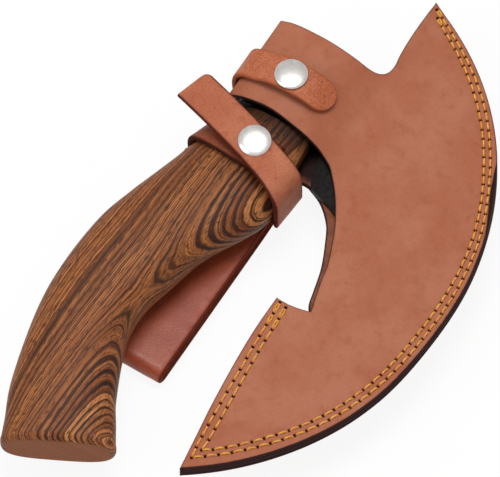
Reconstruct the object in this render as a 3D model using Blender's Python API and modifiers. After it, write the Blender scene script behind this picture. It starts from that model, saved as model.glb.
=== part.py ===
# Ulu knife in its leather sheath: a crescent blade on an axe-like head and handle, held by two snap straps.
# Metres. The blade lies flat: X runs across the handle, Y along it from the butt to the eye, Z out of it.
# Every length below is measured from the blade's middle plane, and one empty sets that frame in place.

from math import atan2, cos, degrees, hypot, pi, radians, sin, sqrt

import bmesh
import bpy
from mathutils import Matrix, Vector

COLLECTION_NAME = "ulu_knife"

# Clearances
GAP = 0.0003                 # between pieces that touch
OVERRUN = 0.002              # how far a cutter passes the face it cuts

# Leather
LEATHER = 0.0021             # thickness of every layer
WELT_THICKNESS = 0.0022      # middle layer along the sewn edges
WELT_WIDTH = 0.0087

# Sheath outline: the crescent edge is a slightly wavy arc, the other edges follow the head
CRESCENT_RADIUS = 0.1304
CRESCENT_X = -0.0471
CRESCENT_Y = 0.0049
EDGE_WAVE = 0.0016           # how far the hand-cut edge strays from the arc
SHEATH_TOP_Y = 0.0840        # top edge over the eye
POLL_EDGE_X = -0.0413        # open edge behind the poll
MOUTH_TOP_Y = 0.0465         # highest point of the mouth
MOUTH_SPAN = 0.0768          # poll edge to the step's corner, along X
MOUTH_DROP = 0.0631          # mouth top to the step's corner, along Y
HORN_X = 0.0055              # inner edge of the horn
STEP_WIDTH = 0.0145          # short step between the mouth and the straight edge

# Head: the eye block and the blade
EYE_X = -0.0185              # middle of the eye and of the tenon
EYE_RIM_Y = 0.0465
EYE_TOP_Y = 0.0820
EYE_HALF_THICKNESS = 0.0084
EYE_EASE = 0.0022            # room between the eye block and the leather
EYE_REACH = 0.0310           # from the eye's middle to where its cove meets the blade's flat
EYE_HOLE_LENGTH = 0.0290
EYE_HOLE_THICKNESS = 0.0122
POLL_DEPTH = 0.0188          # from the eye's middle to the poll face
CHEEK_REACH = 0.0205         # from the eye's middle to the lower cheek corner
BLADE_THICKNESS = 0.0022
EDGE_CLEARANCE = 0.0008      # cutting edge inside the welt
HEEL_CLEARANCE = 0.0052      # blade's heel inside the welt along the straight edge
GRIND_WIDTH = 0.0080
EDGE_THICKNESS = 0.0004
HORN_CLEARANCE = 0.0035      # blade's horn inside the sheath's inner horn edge
HORN_BLADE_START = 0.0075    # where the blade's horn leaves its cove above the eye top

# Handle
HANDLE_REACH = 0.1649        # eye rim to the butt, along Y
HANDLE_WIDTH = 0.0450
HANDLE_THICKNESS = 0.0246
BUTT_ROUND = 0.0030
TENON_TOP_INSET = 0.0005     # tenon end below the eye's top
WEDGE_LENGTH = 0.0240
WEDGE_DEPTH = 0.0200
WEDGE_TOP_THICKNESS = 0.0030
WEDGE_TIP_THICKNESS = 0.0012

# Poll strap
POLL_STRAP_WIDTH = 0.0138
POLL_STRAP_Y = 0.0602
POLL_FLAP_RISE = 0.0014      # how far the flap's tip drifts along Y
POLL_STRAP_ROOT_X = -0.0115  # root's end on the back of the sheath
POLL_BEND_X = -0.0340        # where the bend round the poll starts
POLL_BEND_REACH = 0.0099     # how far the bend stands out behind that
POLL_CREASE_TURN = 104.0     # degrees round the bend where the flap folds
POLL_TIP_X = -0.0032
POLL_TIP_ROUND = 0.0070
SNAP_1_X = -0.0219

# Handle strap
HANDLE_STRAP_WIDTH = 0.0158
HANDLE_STRAP_Y = 0.0272      # middle of the strap above the handle's middle
STRAP_EASE = 0.0010          # between the handle and the leather
HANDLE_CREASE_TURN = 36.0    # degrees round the bend where the flap folds
UNDER_LAYER_TURN = 62.0      # degrees round the handle where the under layer ends
TAIL_LENGTH = 0.0340         # from snap 2 to the end of the tail, along X
TAIL_FALL = 0.0026           # how much lower the tail's end lies than the snap
TAIL_ROUND = 0.0016
SNAP_2_X = -0.0182
SNAP_2_RISE = 0.0008         # snap 2 over the strap's middle

# Snap fasteners, heights over the leather that carries the stud
SNAP_CAP_DIAMETER = 0.0132
SNAP_CAP_HEIGHT = 0.0019
SNAP_STACK = 0.0030          # between the two leather layers
SNAP_RING_DIAMETER = 0.0110
SNAP_BUTTON_DIAMETER = 0.0056
SNAP_BUTTON_CLEARANCE = 0.0004
SNAP_SHANK_DIAMETER = 0.0034
SNAP_FLANGE_DIAMETER = 0.0070
SNAP_FLANGE_THICKNESS = 0.0006
SNAP_SAG = 0.0004            # leather's fall across a flange

# Belt loop
LOOP_WIDTH = 0.0366
LOOP_X = -0.0222
LOOP_TOP_Y = 0.0760
LOOP_FOLD_Y = -0.0600        # where the fold's round starts
BELT_SLOT = 0.0050
LOOP_JOINED_Y = 0.0520       # above this the two layers lie together
LOOP_OPEN_Y = 0.0100         # below this the slot has its full height

# Rivets
RIVET_CAP_DIAMETER = 0.0090
RIVET_CAP_HEIGHT = 0.0010
RIVET_SHANK_DIAMETER = 0.0030
RIVET_FLANGE_DIAMETER = 0.0070
POLL_RIVET_SPACING = 0.0100
STRAP_RIVET_SPACING = 0.0130

# Facets
ARC_STEPS = 56
CURVE_STEPS = 4
RING_SIDES = 32
TURNED_STEPS = 24
LENS_STEPS = 160
WRAP_STEPS = 40
FLAP_STEPS = 28
LOOP_STEPS = 10

# Outline and section tables, as shares of the sizes named beside each
# Bulge of a panel over the eye: along EYE_REACH from the eye's middle, up from the flat to the crown
BULGE_SHARES = ((-0.82, 0.10), (-0.72, 0.40), (-0.60, 0.66), (-0.47, 0.83), (-0.30, 0.93), (-0.05, 1.0),
                (0.18, 0.93), (0.40, 0.76), (0.60, 0.44), (0.79, 0.14), (0.98, 0.0))
# Eye block: along EYE_REACH from the eye's middle, up from the blade's flat to the eye's half thickness
EYE_SHARES = ((-0.565, 0.51), (-0.47, 0.74), (-0.306, 0.92), (-0.05, 1.0), (0.18, 0.945),
              (0.40, 0.75), (0.60, 0.40), (0.73, 0.17), (0.887, 0.0))
# Mouth edges: along MOUTH_SPAN from the poll edge, down MOUTH_DROP from the mouth's top
FRONT_MOUTH_SHARES = ((0.0, 0.02), (0.10, 0.01), (0.23, 0.0), (0.39, 0.02), (0.53, 0.038), (0.589, 0.058),
                      (0.638, 0.087), (0.668, 0.118), (0.746, 0.228), (0.828, 0.381), (0.875, 0.497),
                      (0.934, 0.683), (0.953, 0.794), (1.0, 1.0))
BACK_MOUTH_SHARES = ((0.0, 0.05), (0.16, 0.12), (0.36, 0.18), (0.57, 0.223), (0.618, 0.249), (0.667, 0.277),
                     (0.717, 0.318), (0.756, 0.362), (0.796, 0.42), (0.835, 0.51), (0.875, 0.614),
                     (0.904, 0.706), (0.934, 0.844), (0.957, 0.945), (1.0, 1.0))
# Notch and inner edge of the horn: from HORN_X and the sheath's top, in HORN_HEIGHT
HORN_SHARES = ((-0.16, -0.003), (-0.077, 0.012), (-0.012, 0.055), (0.02, 0.12), (0.025, 0.215),
               (0.008, 0.313), (-0.007, 0.55), (-0.007, 0.80))
# Top edge over the eye: along POLL_EDGE_X to HORN_X, up from the sheath's top in HORN_HEIGHT
TOP_EDGE_SHARES = ((0.0, 0.0), (0.15, 0.003), (0.5, 0.0), (0.72, -0.004))
# Straight sewn edge: from the step's outer corner, in SIDE_LENGTH
SIDE_SHARES = ((0.0, 0.0), (0.0, 0.16), (0.011, 0.345), (0.036, 0.59), (0.058, 0.745), (0.08, 0.90))
STEP_DROP_SHARE = 0.12       # step's slope, of its width
# How the crescent edge strays: degrees round its centre, outwards in EDGE_WAVE
WAVE_SHARES = ((-55.0, 0.0), (-30.0, 0.15), (-18.0, -0.15), (-3.0, -1.0), (14.0, -0.2), (34.0, 0.8),
               (50.0, 0.7), (66.0, 0.0))
# Blade's back edge: along BLADE_BACK_SPAN, down BLADE_BACK_DROP from the lower cheek corner
BLADE_BACK_SHARES = ((0.0, 0.0), (0.03, 0.06), (0.08, 0.105), (0.16, 0.13), (0.28, 0.14), (0.40, 0.148),
                     (0.50, 0.158), (0.60, 0.172), (0.74, 0.207), (0.88, 0.28), (0.985, 0.40),
                     (1.04, 0.56), (1.05, 0.73), (1.03, 0.878), (1.0, 1.0))
# Handle stations: sideways and down from the eye's rim in HANDLE_REACH, then width and thickness
HANDLE_SHARES = ((0.013, 1.0, 1.01, 0.86), (-0.018, 0.94, 0.967, 0.90), (-0.060, 0.857, 0.922, 0.94),
                 (-0.113, 0.695, 0.835, 0.99), (-0.124, 0.574, 0.837, 1.01), (-0.109, 0.455, 0.897, 1.0),
                 (-0.090, 0.376, 0.89, 0.985), (-0.068, 0.313, 0.908, 0.97), (-0.036, 0.235, 0.963, 0.945),
                 (-0.022, 0.188, 0.985, 0.92), (-0.015, 0.11, 0.844, 0.80), (0.0, 0.022, 0.69, 0.65),
                 (0.0, 0.0, 0.667, 0.626))
SECTION_POWER = 2.4
BUTT_POWER = 3.2
BACK_POWER = 3.6             # flatter sweep of the strap on the belt loop and over the snap
# Handle strap: degrees round the handle and rise along Y in HANDLE_STRAP_WIDTH
WRAP_RISE_SHARES = ((62.0, -0.03), (90.0, 0.0), (180.0, 0.17), (270.0, -0.05), (360.0, -0.35), (396.0, -0.31))
FLAP_RISE_SHARES = ((36.0, -0.31), (60.0, -0.12), (90.0, 0.05))
TAIL_RISE_SHARE = 0.31       # tail's slope along Y, of its run along X
TAIL_TAPER_SHARE = 0.86      # width of the tail before its end is rounded

TIP_END_SHARE = 0.2          # width of the poll strap's last edge
TAIL_END_SHARE = 0.8         # width of the handle strap's last edge, of the tail's
POLL_FACE_SHARE = 0.30       # height of the eye block at the poll's face
CAP_RIM_SHARE = 0.35         # height of a snap cap's rim
RIVET_RIM_SHARE = 0.3        # height of a rivet cap's rim


def circle_reach(radius, x):
    """Half the height of a circle round the crescent's centre, at x."""
    return sqrt(radius**2 - (x - CRESCENT_X) ** 2)


# Sizes that follow: the horn, the straight edge and the blade's back all end on the crescent
PANEL_FLAT = WELT_THICKNESS / 2 + GAP + LEATHER
PANEL_CROWN = EYE_HALF_THICKNESS + EYE_EASE + LEATHER
BLADE_RADIUS = CRESCENT_RADIUS - EDGE_WAVE - WELT_WIDTH - EDGE_CLEARANCE
HORN_TIP_Y = CRESCENT_Y + circle_reach(CRESCENT_RADIUS, HORN_X)
HORN_HEIGHT = HORN_TIP_Y - SHEATH_TOP_Y
STEP_X = POLL_EDGE_X + MOUTH_SPAN - STEP_WIDTH
STEP_Y = MOUTH_TOP_Y - MOUTH_DROP - STEP_WIDTH * STEP_DROP_SHARE
SIDE_LENGTH = STEP_Y - CRESCENT_Y + circle_reach(CRESCENT_RADIUS, STEP_X)
HEEL_X = STEP_X + WELT_WIDTH + HEEL_CLEARANCE
BLADE_BACK_SPAN = HEEL_X - EYE_X - CHEEK_REACH
BLADE_BACK_DROP = EYE_RIM_Y - CRESCENT_Y + circle_reach(BLADE_RADIUS, HEEL_X)


def clear_scene():
    for item in list(bpy.data.objects):
        bpy.data.objects.remove(item, do_unlink=True)


def make_collection(name):
    collection = bpy.data.collections.new(name)
    bpy.context.scene.collection.children.link(collection)
    return collection


def make_material(name, colour, roughness, metallic):
    material = bpy.data.materials.new(name)
    material.use_nodes = True
    shader = material.node_tree.nodes["Principled BSDF"]
    shader.inputs["Base Color"].default_value = (*colour, 1.0)
    shader.inputs["Roughness"].default_value = roughness
    shader.inputs["Metallic"].default_value = metallic
    return material


clear_scene()
PARTS = make_collection(COLLECTION_NAME)
CUTTERS = make_collection("cutters")
SHEATH_LEATHER = make_material("sheath_leather", (0.43, 0.14, 0.08), 0.55, 0.0)
STRAP_LEATHER = make_material("strap_leather", (0.50, 0.16, 0.09), 0.45, 0.0)
LOOP_LEATHER = make_material("loop_leather", (0.40, 0.10, 0.035), 0.35, 0.0)
WOOD = make_material("oiled_wood", (0.30, 0.12, 0.055), 0.5, 0.0)
WEDGE_WOOD = make_material("wedge_wood", (0.45, 0.25, 0.12), 0.6, 0.0)
STEEL = make_material("dark_steel", (0.02, 0.02, 0.022), 0.45, 0.9)
NICKEL = make_material("nickel", (0.75, 0.74, 0.72), 0.25, 1.0)


def add_object(name, mesh, material, parent):
    item = bpy.data.objects.new(name, mesh)
    if material is None:
        CUTTERS.objects.link(item)
        item.hide_render = True
        item.display_type = "WIRE"
    else:
        PARTS.objects.link(item)
        mesh.materials.clear()
        mesh.materials.append(material)
    item.parent = parent
    return item


def add_empty(name, location, parent=None):
    item = bpy.data.objects.new(name, None)
    PARTS.objects.link(item)
    item.empty_display_size = HANDLE_THICKNESS
    item.location = location
    item.parent = parent
    return item


ROOT = add_empty("frame", (0.0, 0.0, 0.0))


def smooth_curve(points, steps=CURVE_STEPS):
    """Catmull-Rom curve through points of any size, with the given steps in each span."""
    ends = [points[0], *points, points[-1]]
    curve = []
    for a, b, c, d in zip(ends, ends[1:], ends[2:], ends[3:]):
        for step in range(steps):
            t = step / steps
            weights = ((-t + 2 * t**2 - t**3) / 2, (2 - 5 * t**2 + 3 * t**3) / 2,
                       (t + 4 * t**2 - 3 * t**3) / 2, (t**3 - t**2) / 2)
            curve.append(tuple(sum(w * p[i] for w, p in zip(weights, (a, b, c, d))) for i in range(len(b))))
    curve.append(tuple(points[-1]))
    return curve


def read_curve(curve, x):
    """Second value of a curve of pairs at x, held constant past its ends."""
    if x <= curve[0][0]:
        return curve[0][1]
    for (x0, y0), (x1, y1) in zip(curve, curve[1:]):
        if x <= x1:
            return y0 + (y1 - y0) * (x - x0) / (x1 - x0)
    return curve[-1][1]


def rounded(turn, half_width, half_height, power=SECTION_POWER):
    """Point of a superellipse at a turn in degrees."""
    c = cos(radians(turn))
    s = sin(radians(turn))
    x = half_width * abs(c) ** (2 / power) * (1 if c >= 0 else -1)
    y = half_height * abs(s) ** (2 / power) * (1 if s >= 0 else -1)
    return x, y


def arc(centre, radius, start, end, steps=ARC_STEPS):
    turns = [start + (end - start) * step / steps for step in range(steps + 1)]
    return [(centre[0] + radius * cos(turn), centre[1] + radius * sin(turn)) for turn in turns]


FACINGS = {
    "Z": Matrix.Identity(4),
    "Y": Matrix(((1, 0, 0, 0), (0, 0, -1, 0), (0, 1, 0, 0), (0, 0, 0, 1))),
    "X": Matrix(((0, 0, 1, 0), (1, 0, 0, 0), (0, 1, 0, 0), (0, 0, 0, 1))),
}


def prism(name, outline, low, high, material=None, facing="Z", parent=ROOT):
    """Flat outline extruded along one axis, from low to high on that axis."""
    curve = bpy.data.curves.new(name, "CURVE")
    curve.dimensions = "2D"
    curve.fill_mode = "BOTH"
    curve.extrude = (high - low) / 2
    spline = curve.splines.new("POLY")
    spline.points.add(len(outline) - 1)
    for point, (x, y) in zip(spline.points, outline):
        point.co = (x, y, 0.0, 1.0)
    spline.use_cyclic_u = True
    drawn = bpy.data.objects.new(name + "_curve", curve)
    CUTTERS.objects.link(drawn)
    bpy.context.view_layer.update()
    mesh = bpy.data.meshes.new_from_object(drawn.evaluated_get(bpy.context.evaluated_depsgraph_get()))
    bpy.data.objects.remove(drawn, do_unlink=True)
    middle = (low + high) / 2
    shift = Matrix.Translation((0.0, 0.0, -middle if facing == "Y" else middle))
    mesh.transform(FACINGS[facing] @ shift)
    tidy_mesh(mesh)
    mesh.name = name
    return add_object(name, mesh, material, parent)


def tidy_mesh(mesh):
    work = bmesh.new()
    work.from_mesh(mesh)
    bmesh.ops.remove_doubles(work, verts=work.verts, dist=1e-6)
    bmesh.ops.recalc_face_normals(work, faces=work.faces)
    work.to_mesh(mesh)
    work.free()


def mesh_from_rows(name, rows):
    """Open surface through rows of points."""
    mesh = bpy.data.meshes.new(name)
    work = bmesh.new()
    grid = [[work.verts.new(point) for point in row] for row in rows]
    for row, following in zip(grid, grid[1:]):
        for a, b, c, d in zip(row, row[1:], following[1:], following):
            work.faces.new((a, b, c, d))
    work.to_mesh(mesh)
    work.free()
    return mesh


def sheet(name, rows, material, offset, parent=ROOT, thickness=LEATHER):
    """Leather made from an open surface."""
    item = add_object(name, mesh_from_rows(name, rows), material, parent)
    solidify = item.modifiers.new("Leather", "SOLIDIFY")
    solidify.thickness = thickness
    solidify.offset = offset
    solidify.use_even_offset = True
    return item


def loft(name, rings, material, parent=ROOT):
    """Closed body through rings of points."""
    mesh = bpy.data.meshes.new(name)
    work = bmesh.new()
    loops = [[work.verts.new(point) for point in ring] for ring in rings]
    for ring, following in zip(loops, loops[1:]):
        for i, vertex in enumerate(ring):
            j = (i + 1) % len(ring)
            work.faces.new((vertex, ring[j], following[j], following[i]))
    work.faces.new(loops[0])
    work.faces.new(loops[-1])
    bmesh.ops.recalc_face_normals(work, faces=work.faces)
    work.to_mesh(mesh)
    work.free()
    return add_object(name, mesh, material, parent)


def turned(name, profile, material, parent, steps=TURNED_STEPS, location=(0.0, 0.0, 0.0)):
    """Body turned round Z from a closed or axis-to-axis profile, drawn down its outer side."""
    mesh = bpy.data.meshes.new(name)
    work = bmesh.new()
    points = [work.verts.new((radius, 0.0, height)) for radius, height in profile]
    for a, b in zip(points, points[1:]):
        work.edges.new((a, b))
    if profile[0][0] > 0:
        work.edges.new((points[-1], points[0]))
    work.to_mesh(mesh)
    work.free()
    item = add_object(name, mesh, material, parent)
    item.location = location
    screw = item.modifiers.new("Turn", "SCREW")
    screw.axis = "Z"
    screw.steps = steps
    screw.render_steps = steps
    screw.use_merge_vertices = True
    screw.merge_threshold = 1e-5
    screw.use_smooth_shade = True
    return item


def drill(name, x, y, low, high, diameter, parent=ROOT):
    """Cutter for a round hole along Z."""
    profile = ((0.0, high), (diameter / 2, high), (diameter / 2, low), (0.0, low))
    return turned(name, profile, None, parent, location=(x, y, 0.0))


def boolean(item, cutter, operation):
    modifier = item.modifiers.new(operation.title(), "BOOLEAN")
    modifier.operation = operation
    modifier.solver = "EXACT"
    modifier.object = cutter


def smooth_shade(item, angle=35.0):
    item.data.shade_smooth()
    item.data.set_sharp_from_angle(angle=radians(angle))


def spread(shares, x0, x_size, y0, y_size):
    return [(x0 + x * x_size, y0 + y * y_size) for x, y in shares]


# Sheath


BULGE = smooth_curve(spread(BULGE_SHARES, EYE_X, EYE_REACH, PANEL_FLAT, PANEL_CROWN - PANEL_FLAT))


def panel_height(x):
    """Outer face of the front panel over the blade's middle plane."""
    return read_curve(BULGE, x)


def crescent_turn(point):
    return atan2(point[1] - CRESCENT_Y, point[0] - CRESCENT_X)


def crescent_edge(start, end, inset=0.0):
    """Wavy edge of the crescent between two turns, moved in by an inset."""
    wave = smooth_curve(WAVE_SHARES)
    points = []
    for step in range(ARC_STEPS + 1):
        turn = start + (end - start) * step / ARC_STEPS
        reach = CRESCENT_RADIUS - inset + EDGE_WAVE * read_curve(wave, degrees(turn))
        points.append((CRESCENT_X + reach * cos(turn), CRESCENT_Y + reach * sin(turn)))
    return points


def side_edge(inset=0.0):
    """Straight sewn edge from the step down to the crescent, moved in by an inset."""
    radius = CRESCENT_RADIUS - inset
    curve = smooth_curve(spread(SIDE_SHARES, STEP_X + inset, SIDE_LENGTH, STEP_Y, -SIDE_LENGTH))
    points = [(x, y) for x, y in curve if hypot(x - CRESCENT_X, y - CRESCENT_Y) < radius - inset]
    (x0, y0), (x1, y1) = points[-2:]
    slope = (x1 - x0) / (y1 - y0)
    reach = y1
    while hypot(x1 + slope * (reach - y1) - CRESCENT_X, reach - CRESCENT_Y) < radius:
        reach -= GAP
    return points, (x1 + slope * (reach - y1), reach)


def panel_outline(mouth_shares):
    """Outline of a panel, from the poll edge's top round by the crescent and back along the mouth."""
    top_edge = spread(TOP_EDGE_SHARES, POLL_EDGE_X, HORN_X - POLL_EDGE_X, SHEATH_TOP_Y, HORN_HEIGHT)
    horn = spread(HORN_SHARES, HORN_X, HORN_HEIGHT, SHEATH_TOP_Y, HORN_HEIGHT)
    side, toe = side_edge()
    edge = crescent_edge(crescent_turn((HORN_X, HORN_TIP_Y)), crescent_turn(toe))
    mouth = smooth_curve(spread(mouth_shares, POLL_EDGE_X, MOUTH_SPAN, MOUTH_TOP_Y, -MOUTH_DROP), 3)
    return smooth_curve(top_edge) + smooth_curve(horn) + edge + list(reversed(side)) + list(reversed(mouth))


def make_panel(name, mouth_shares, side):
    """One leather panel, formed over the eye; side is 1 for the front and -1 for the back."""
    low = CRESCENT_Y - CRESCENT_RADIUS
    high = CRESCENT_Y + CRESCENT_RADIUS
    reach = CRESCENT_X + CRESCENT_RADIUS + OVERRUN
    profile = [(x, height) for x, height in BULGE] + [(reach, PANEL_FLAT)]
    ends = (low, high) if side > 0 else (high, low)
    rows = [[(x, y, side * height) for x, height in profile] for y in ends]
    panel = sheet(name, rows, SHEATH_LEATHER, -1.0)
    high_face = PANEL_CROWN + OVERRUN
    trim = prism(name + "_trim", panel_outline(mouth_shares), -high_face, high_face)
    boolean(panel, trim, "INTERSECT")
    return panel


def make_welt():
    """Middle layer along the crescent and the straight sewn edge."""
    side, toe = side_edge()
    inner_side, inner_toe = side_edge(WELT_WIDTH)
    inner_radius = CRESCENT_RADIUS - WELT_WIDTH
    inner_x = HORN_X + GAP
    horn_inner = (inner_x, CRESCENT_Y + circle_reach(inner_radius, inner_x))
    outer_edge = crescent_edge(crescent_turn((HORN_X, HORN_TIP_Y)), crescent_turn(toe))
    inner_edge = crescent_edge(crescent_turn(inner_toe), crescent_turn(horn_inner), WELT_WIDTH)
    outline = outer_edge + list(reversed(side)) + inner_side + inner_edge
    return prism("sheath_welt", outline, -WELT_THICKNESS / 2, WELT_THICKNESS / 2, SHEATH_LEATHER)


# Head and handle


def head_outline():
    """Plan of the head: poll, eye top, horn, cutting edge and the blade's back."""
    cheek = (EYE_X + CHEEK_REACH, EYE_RIM_Y)
    back = smooth_curve(spread(BLADE_BACK_SHARES, cheek[0], BLADE_BACK_SPAN, cheek[1], -BLADE_BACK_DROP), 3)
    radius = BLADE_RADIUS + OVERRUN
    horn_x = HORN_X + HORN_CLEARANCE
    horn_tip = (horn_x, CRESCENT_Y + circle_reach(radius, horn_x))
    heel = (HEEL_X, CRESCENT_Y - circle_reach(radius, HEEL_X))
    poll_x = EYE_X - POLL_DEPTH
    cove_radius = min(HORN_BLADE_START, (horn_tip[1] - EYE_TOP_Y) / 2)
    cove = [(horn_x - cove_radius * (1.0 - sin(radians(turn))),
             EYE_TOP_Y + cove_radius * (1.0 - cos(radians(turn)))) for turn in range(0, 91, 15)]
    edge = arc((CRESCENT_X, CRESCENT_Y), radius, crescent_turn(horn_tip), crescent_turn(heel))
    return [(poll_x, EYE_RIM_Y), (poll_x, EYE_TOP_Y)] + cove + edge + list(reversed(back))


def head_section():
    """Section of the head across X and Z: the eye block flowing into the blade's flat."""
    half = BLADE_THICKNESS / 2
    rise = EYE_HALF_THICKNESS - half
    upper = smooth_curve([(EYE_X + x * EYE_REACH, half + z * rise) for x, z in EYE_SHARES])
    poll = (EYE_X - POLL_DEPTH, half + POLL_FACE_SHARE * rise)
    far = (CRESCENT_X + CRESCENT_RADIUS, half)
    upper = [poll] + upper + [far]
    return upper + [(x, -z) for x, z in reversed(upper)]


def make_head():
    """Steel head: the plan and the section crossed, with a ground edge and the eye's hole."""
    high = CRESCENT_Y + CRESCENT_RADIUS
    low = CRESCENT_Y - CRESCENT_RADIUS
    head = prism("blade_head", head_section(), low, high, STEEL, "Y")
    tall = EYE_HALF_THICKNESS + OVERRUN
    boolean(head, prism("head_trim", head_outline(), -tall, tall), "INTERSECT")
    half = BLADE_THICKNESS / 2 + GAP
    grind_radius = BLADE_RADIUS - GRIND_WIDTH
    edge = EDGE_THICKNESS / 2
    upper = [(0.0, tall), (grind_radius, tall), (grind_radius, half), (BLADE_RADIUS, edge)]
    lens_profile = upper + [(radius, -height) for radius, height in reversed(upper)]
    lens = turned("head_lens", lens_profile, None, ROOT, LENS_STEPS, (CRESCENT_X, CRESCENT_Y, 0.0))
    boolean(head, lens, "INTERSECT")
    hole = []
    for side in range(RING_SIDES):
        x, z = rounded(360.0 * side / RING_SIDES, EYE_HOLE_LENGTH / 2, EYE_HOLE_THICKNESS / 2)
        hole.append((EYE_X + x, z))
    eye_cut = prism("eye_cut", hole, EYE_RIM_Y - OVERRUN, EYE_TOP_Y + OVERRUN, None, "Y")
    boolean(head, eye_cut, "DIFFERENCE")
    smooth_shade(head)
    return head


def handle_ring(centre, direction, width, thickness, power):
    """Section of the handle square to its axis."""
    across = Vector((direction[1], -direction[0], 0.0)).normalized()
    up = Vector((0.0, 0.0, 1.0))
    middle = Vector((centre[0], centre[1], 0.0))
    ring = []
    for side in range(RING_SIDES):
        x, z = rounded(360.0 * side / RING_SIDES, width / 2, thickness / 2, power)
        ring.append(middle + across * x + up * z)
    return ring


def handle_stations():
    """Smooth run of the handle's middle line, width and thickness from the butt to the shoulder."""
    points = []
    for sideways, down, width, thickness in HANDLE_SHARES:
        x = EYE_X + sideways * HANDLE_REACH
        y = EYE_RIM_Y - GAP - down * HANDLE_REACH
        points.append((x, y, width * HANDLE_WIDTH, thickness * HANDLE_THICKNESS))
    return smooth_curve(points, 3)


def make_handle():
    """S-curved grip with a rounded butt, a shoulder under the eye and a kerfed tenon through it."""
    stations = handle_stations()
    rings = []
    butt = Vector(stations[0][:2])
    axis = (Vector(stations[1][:2]) - butt).normalized()
    for turn in (0, 30, 60):
        inset = BUTT_ROUND * (1.0 - sin(radians(turn)))
        along = BUTT_ROUND * (1.0 - cos(radians(turn)))
        width = stations[0][2] - 2 * inset
        thickness = stations[0][3] - 2 * inset
        rings.append(handle_ring(butt + axis * along, axis, width, thickness, BUTT_POWER))
    count = len(stations)
    for index, (x, y, width, thickness) in enumerate(stations[1:], 1):
        following = stations[min(index + 1, count - 1)]
        before = stations[index - 1]
        direction = (following[0] - before[0], following[1] - before[1])
        if index >= count - 2:
            direction = (0.0, 1.0)
        blend = max(0.0, 1.0 - 3.0 * index / count)
        power = SECTION_POWER + (BUTT_POWER - SECTION_POWER) * blend
        rings.append(handle_ring((x, y), direction, width, thickness, power))
    tenon_width = EYE_HOLE_LENGTH - 2 * GAP
    tenon_thickness = EYE_HOLE_THICKNESS - 2 * GAP
    for y in (EYE_RIM_Y - GAP, EYE_TOP_Y - TENON_TOP_INSET):
        rings.append(handle_ring((EYE_X, y), (0.0, 1.0), tenon_width, tenon_thickness, SECTION_POWER))
    handle = loft("handle", rings, WOOD)
    boolean(handle, wedge_body("kerf_cut", GAP, OVERRUN, None), "DIFFERENCE")
    smooth_shade(handle)
    return handle


def wedge_body(name, ease, rise, material):
    """Wedge driven down the middle of the tenon, grown by an ease and raised for its kerf."""
    top = EYE_TOP_Y - TENON_TOP_INSET
    tip = top - WEDGE_DEPTH
    taper = (WEDGE_TOP_THICKNESS - WEDGE_TIP_THICKNESS) / 2 / WEDGE_DEPTH
    half_top = WEDGE_TOP_THICKNESS / 2 + ease + rise * taper
    half_tip = WEDGE_TIP_THICKNESS / 2 + ease - ease * taper
    high = top + rise
    low = tip - ease
    outline = [(high, -half_top), (high, half_top), (low, half_tip), (low, -half_tip)]
    reach = WEDGE_LENGTH / 2 + ease
    return prism(name, outline, EYE_X - reach, EYE_X + reach, material, "X")


# Straps


def tip_width(distance, length):
    """Share of a strap's width at a distance from its rounded tip."""
    if distance >= length:
        return 1.0
    share = 1.0 - distance / length
    return (1.0 - share**SECTION_POWER) ** (1 / SECTION_POWER)


def ribbon(name, edges, parent=ROOT):
    """Strap of leather between two edge curves."""
    rows = [list(pair) for pair in edges]
    return sheet(name, rows, STRAP_LEATHER, 0.0, parent)


def poll_flap_height(x):
    """Middle of the poll strap's flap, raised over the panel by the snap."""
    lift = SNAP_STACK + LEATHER / 2
    low = 2 * GAP + LEATHER / 2
    crease = poll_bend_point(POLL_CREASE_TURN)[0]
    span = SNAP_1_X - crease if x < SNAP_1_X else POLL_TIP_X - SNAP_1_X
    away = min(1.0, abs(x - SNAP_1_X) / span)
    flat = (SNAP_RING_DIAMETER + LEATHER) / 2 / span
    share = 1.0 if away < flat else cos(pi / 2 * (away - flat) / (1.0 - flat)) ** 2
    top = PANEL_CROWN if away < flat else panel_height(x)
    return top + low + (lift - low) * share


def poll_bend_point(turn):
    """Middle line of the bend round the poll, at a turn from over the eye to behind it."""
    over = panel_height(POLL_BEND_X) + LEATHER / 2 + 3 * GAP
    under = PANEL_CROWN + GAP + LEATHER / 2
    x, z = rounded(turn, POLL_BEND_REACH, over if turn < 180 else under)
    return POLL_BEND_X + x, z


def poll_flap_y(x):
    """Middle of the poll strap's flap along Y, drifting from its crease to its tip."""
    crease = poll_bend_point(POLL_CREASE_TURN)[0]
    return POLL_STRAP_Y + POLL_FLAP_RISE * (x - crease) / (POLL_TIP_X - crease)


def strap_edges(points, width, parent_location):
    """Edge pairs of a strap that runs along X, relative to its parent."""
    edges = []
    for x, y, z, share in points:
        half = width / 2 * share
        centre = Vector((x, y, z)) - parent_location
        edges.append((centre - Vector((0.0, half, 0.0)), centre + Vector((0.0, half, 0.0))))
    return edges


def crease_frame(point, following, across, name):
    """Empty on the outer face of a strap at its crease, where its flap turns."""
    along = (Vector(following) - Vector(point)).normalized()
    outward = along.cross(Vector(across)).normalized()
    if outward.z < 0:
        outward = -outward
    location = Vector(point) + outward * (LEATHER / 2)
    return location, add_empty(name, location, ROOT)


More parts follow.
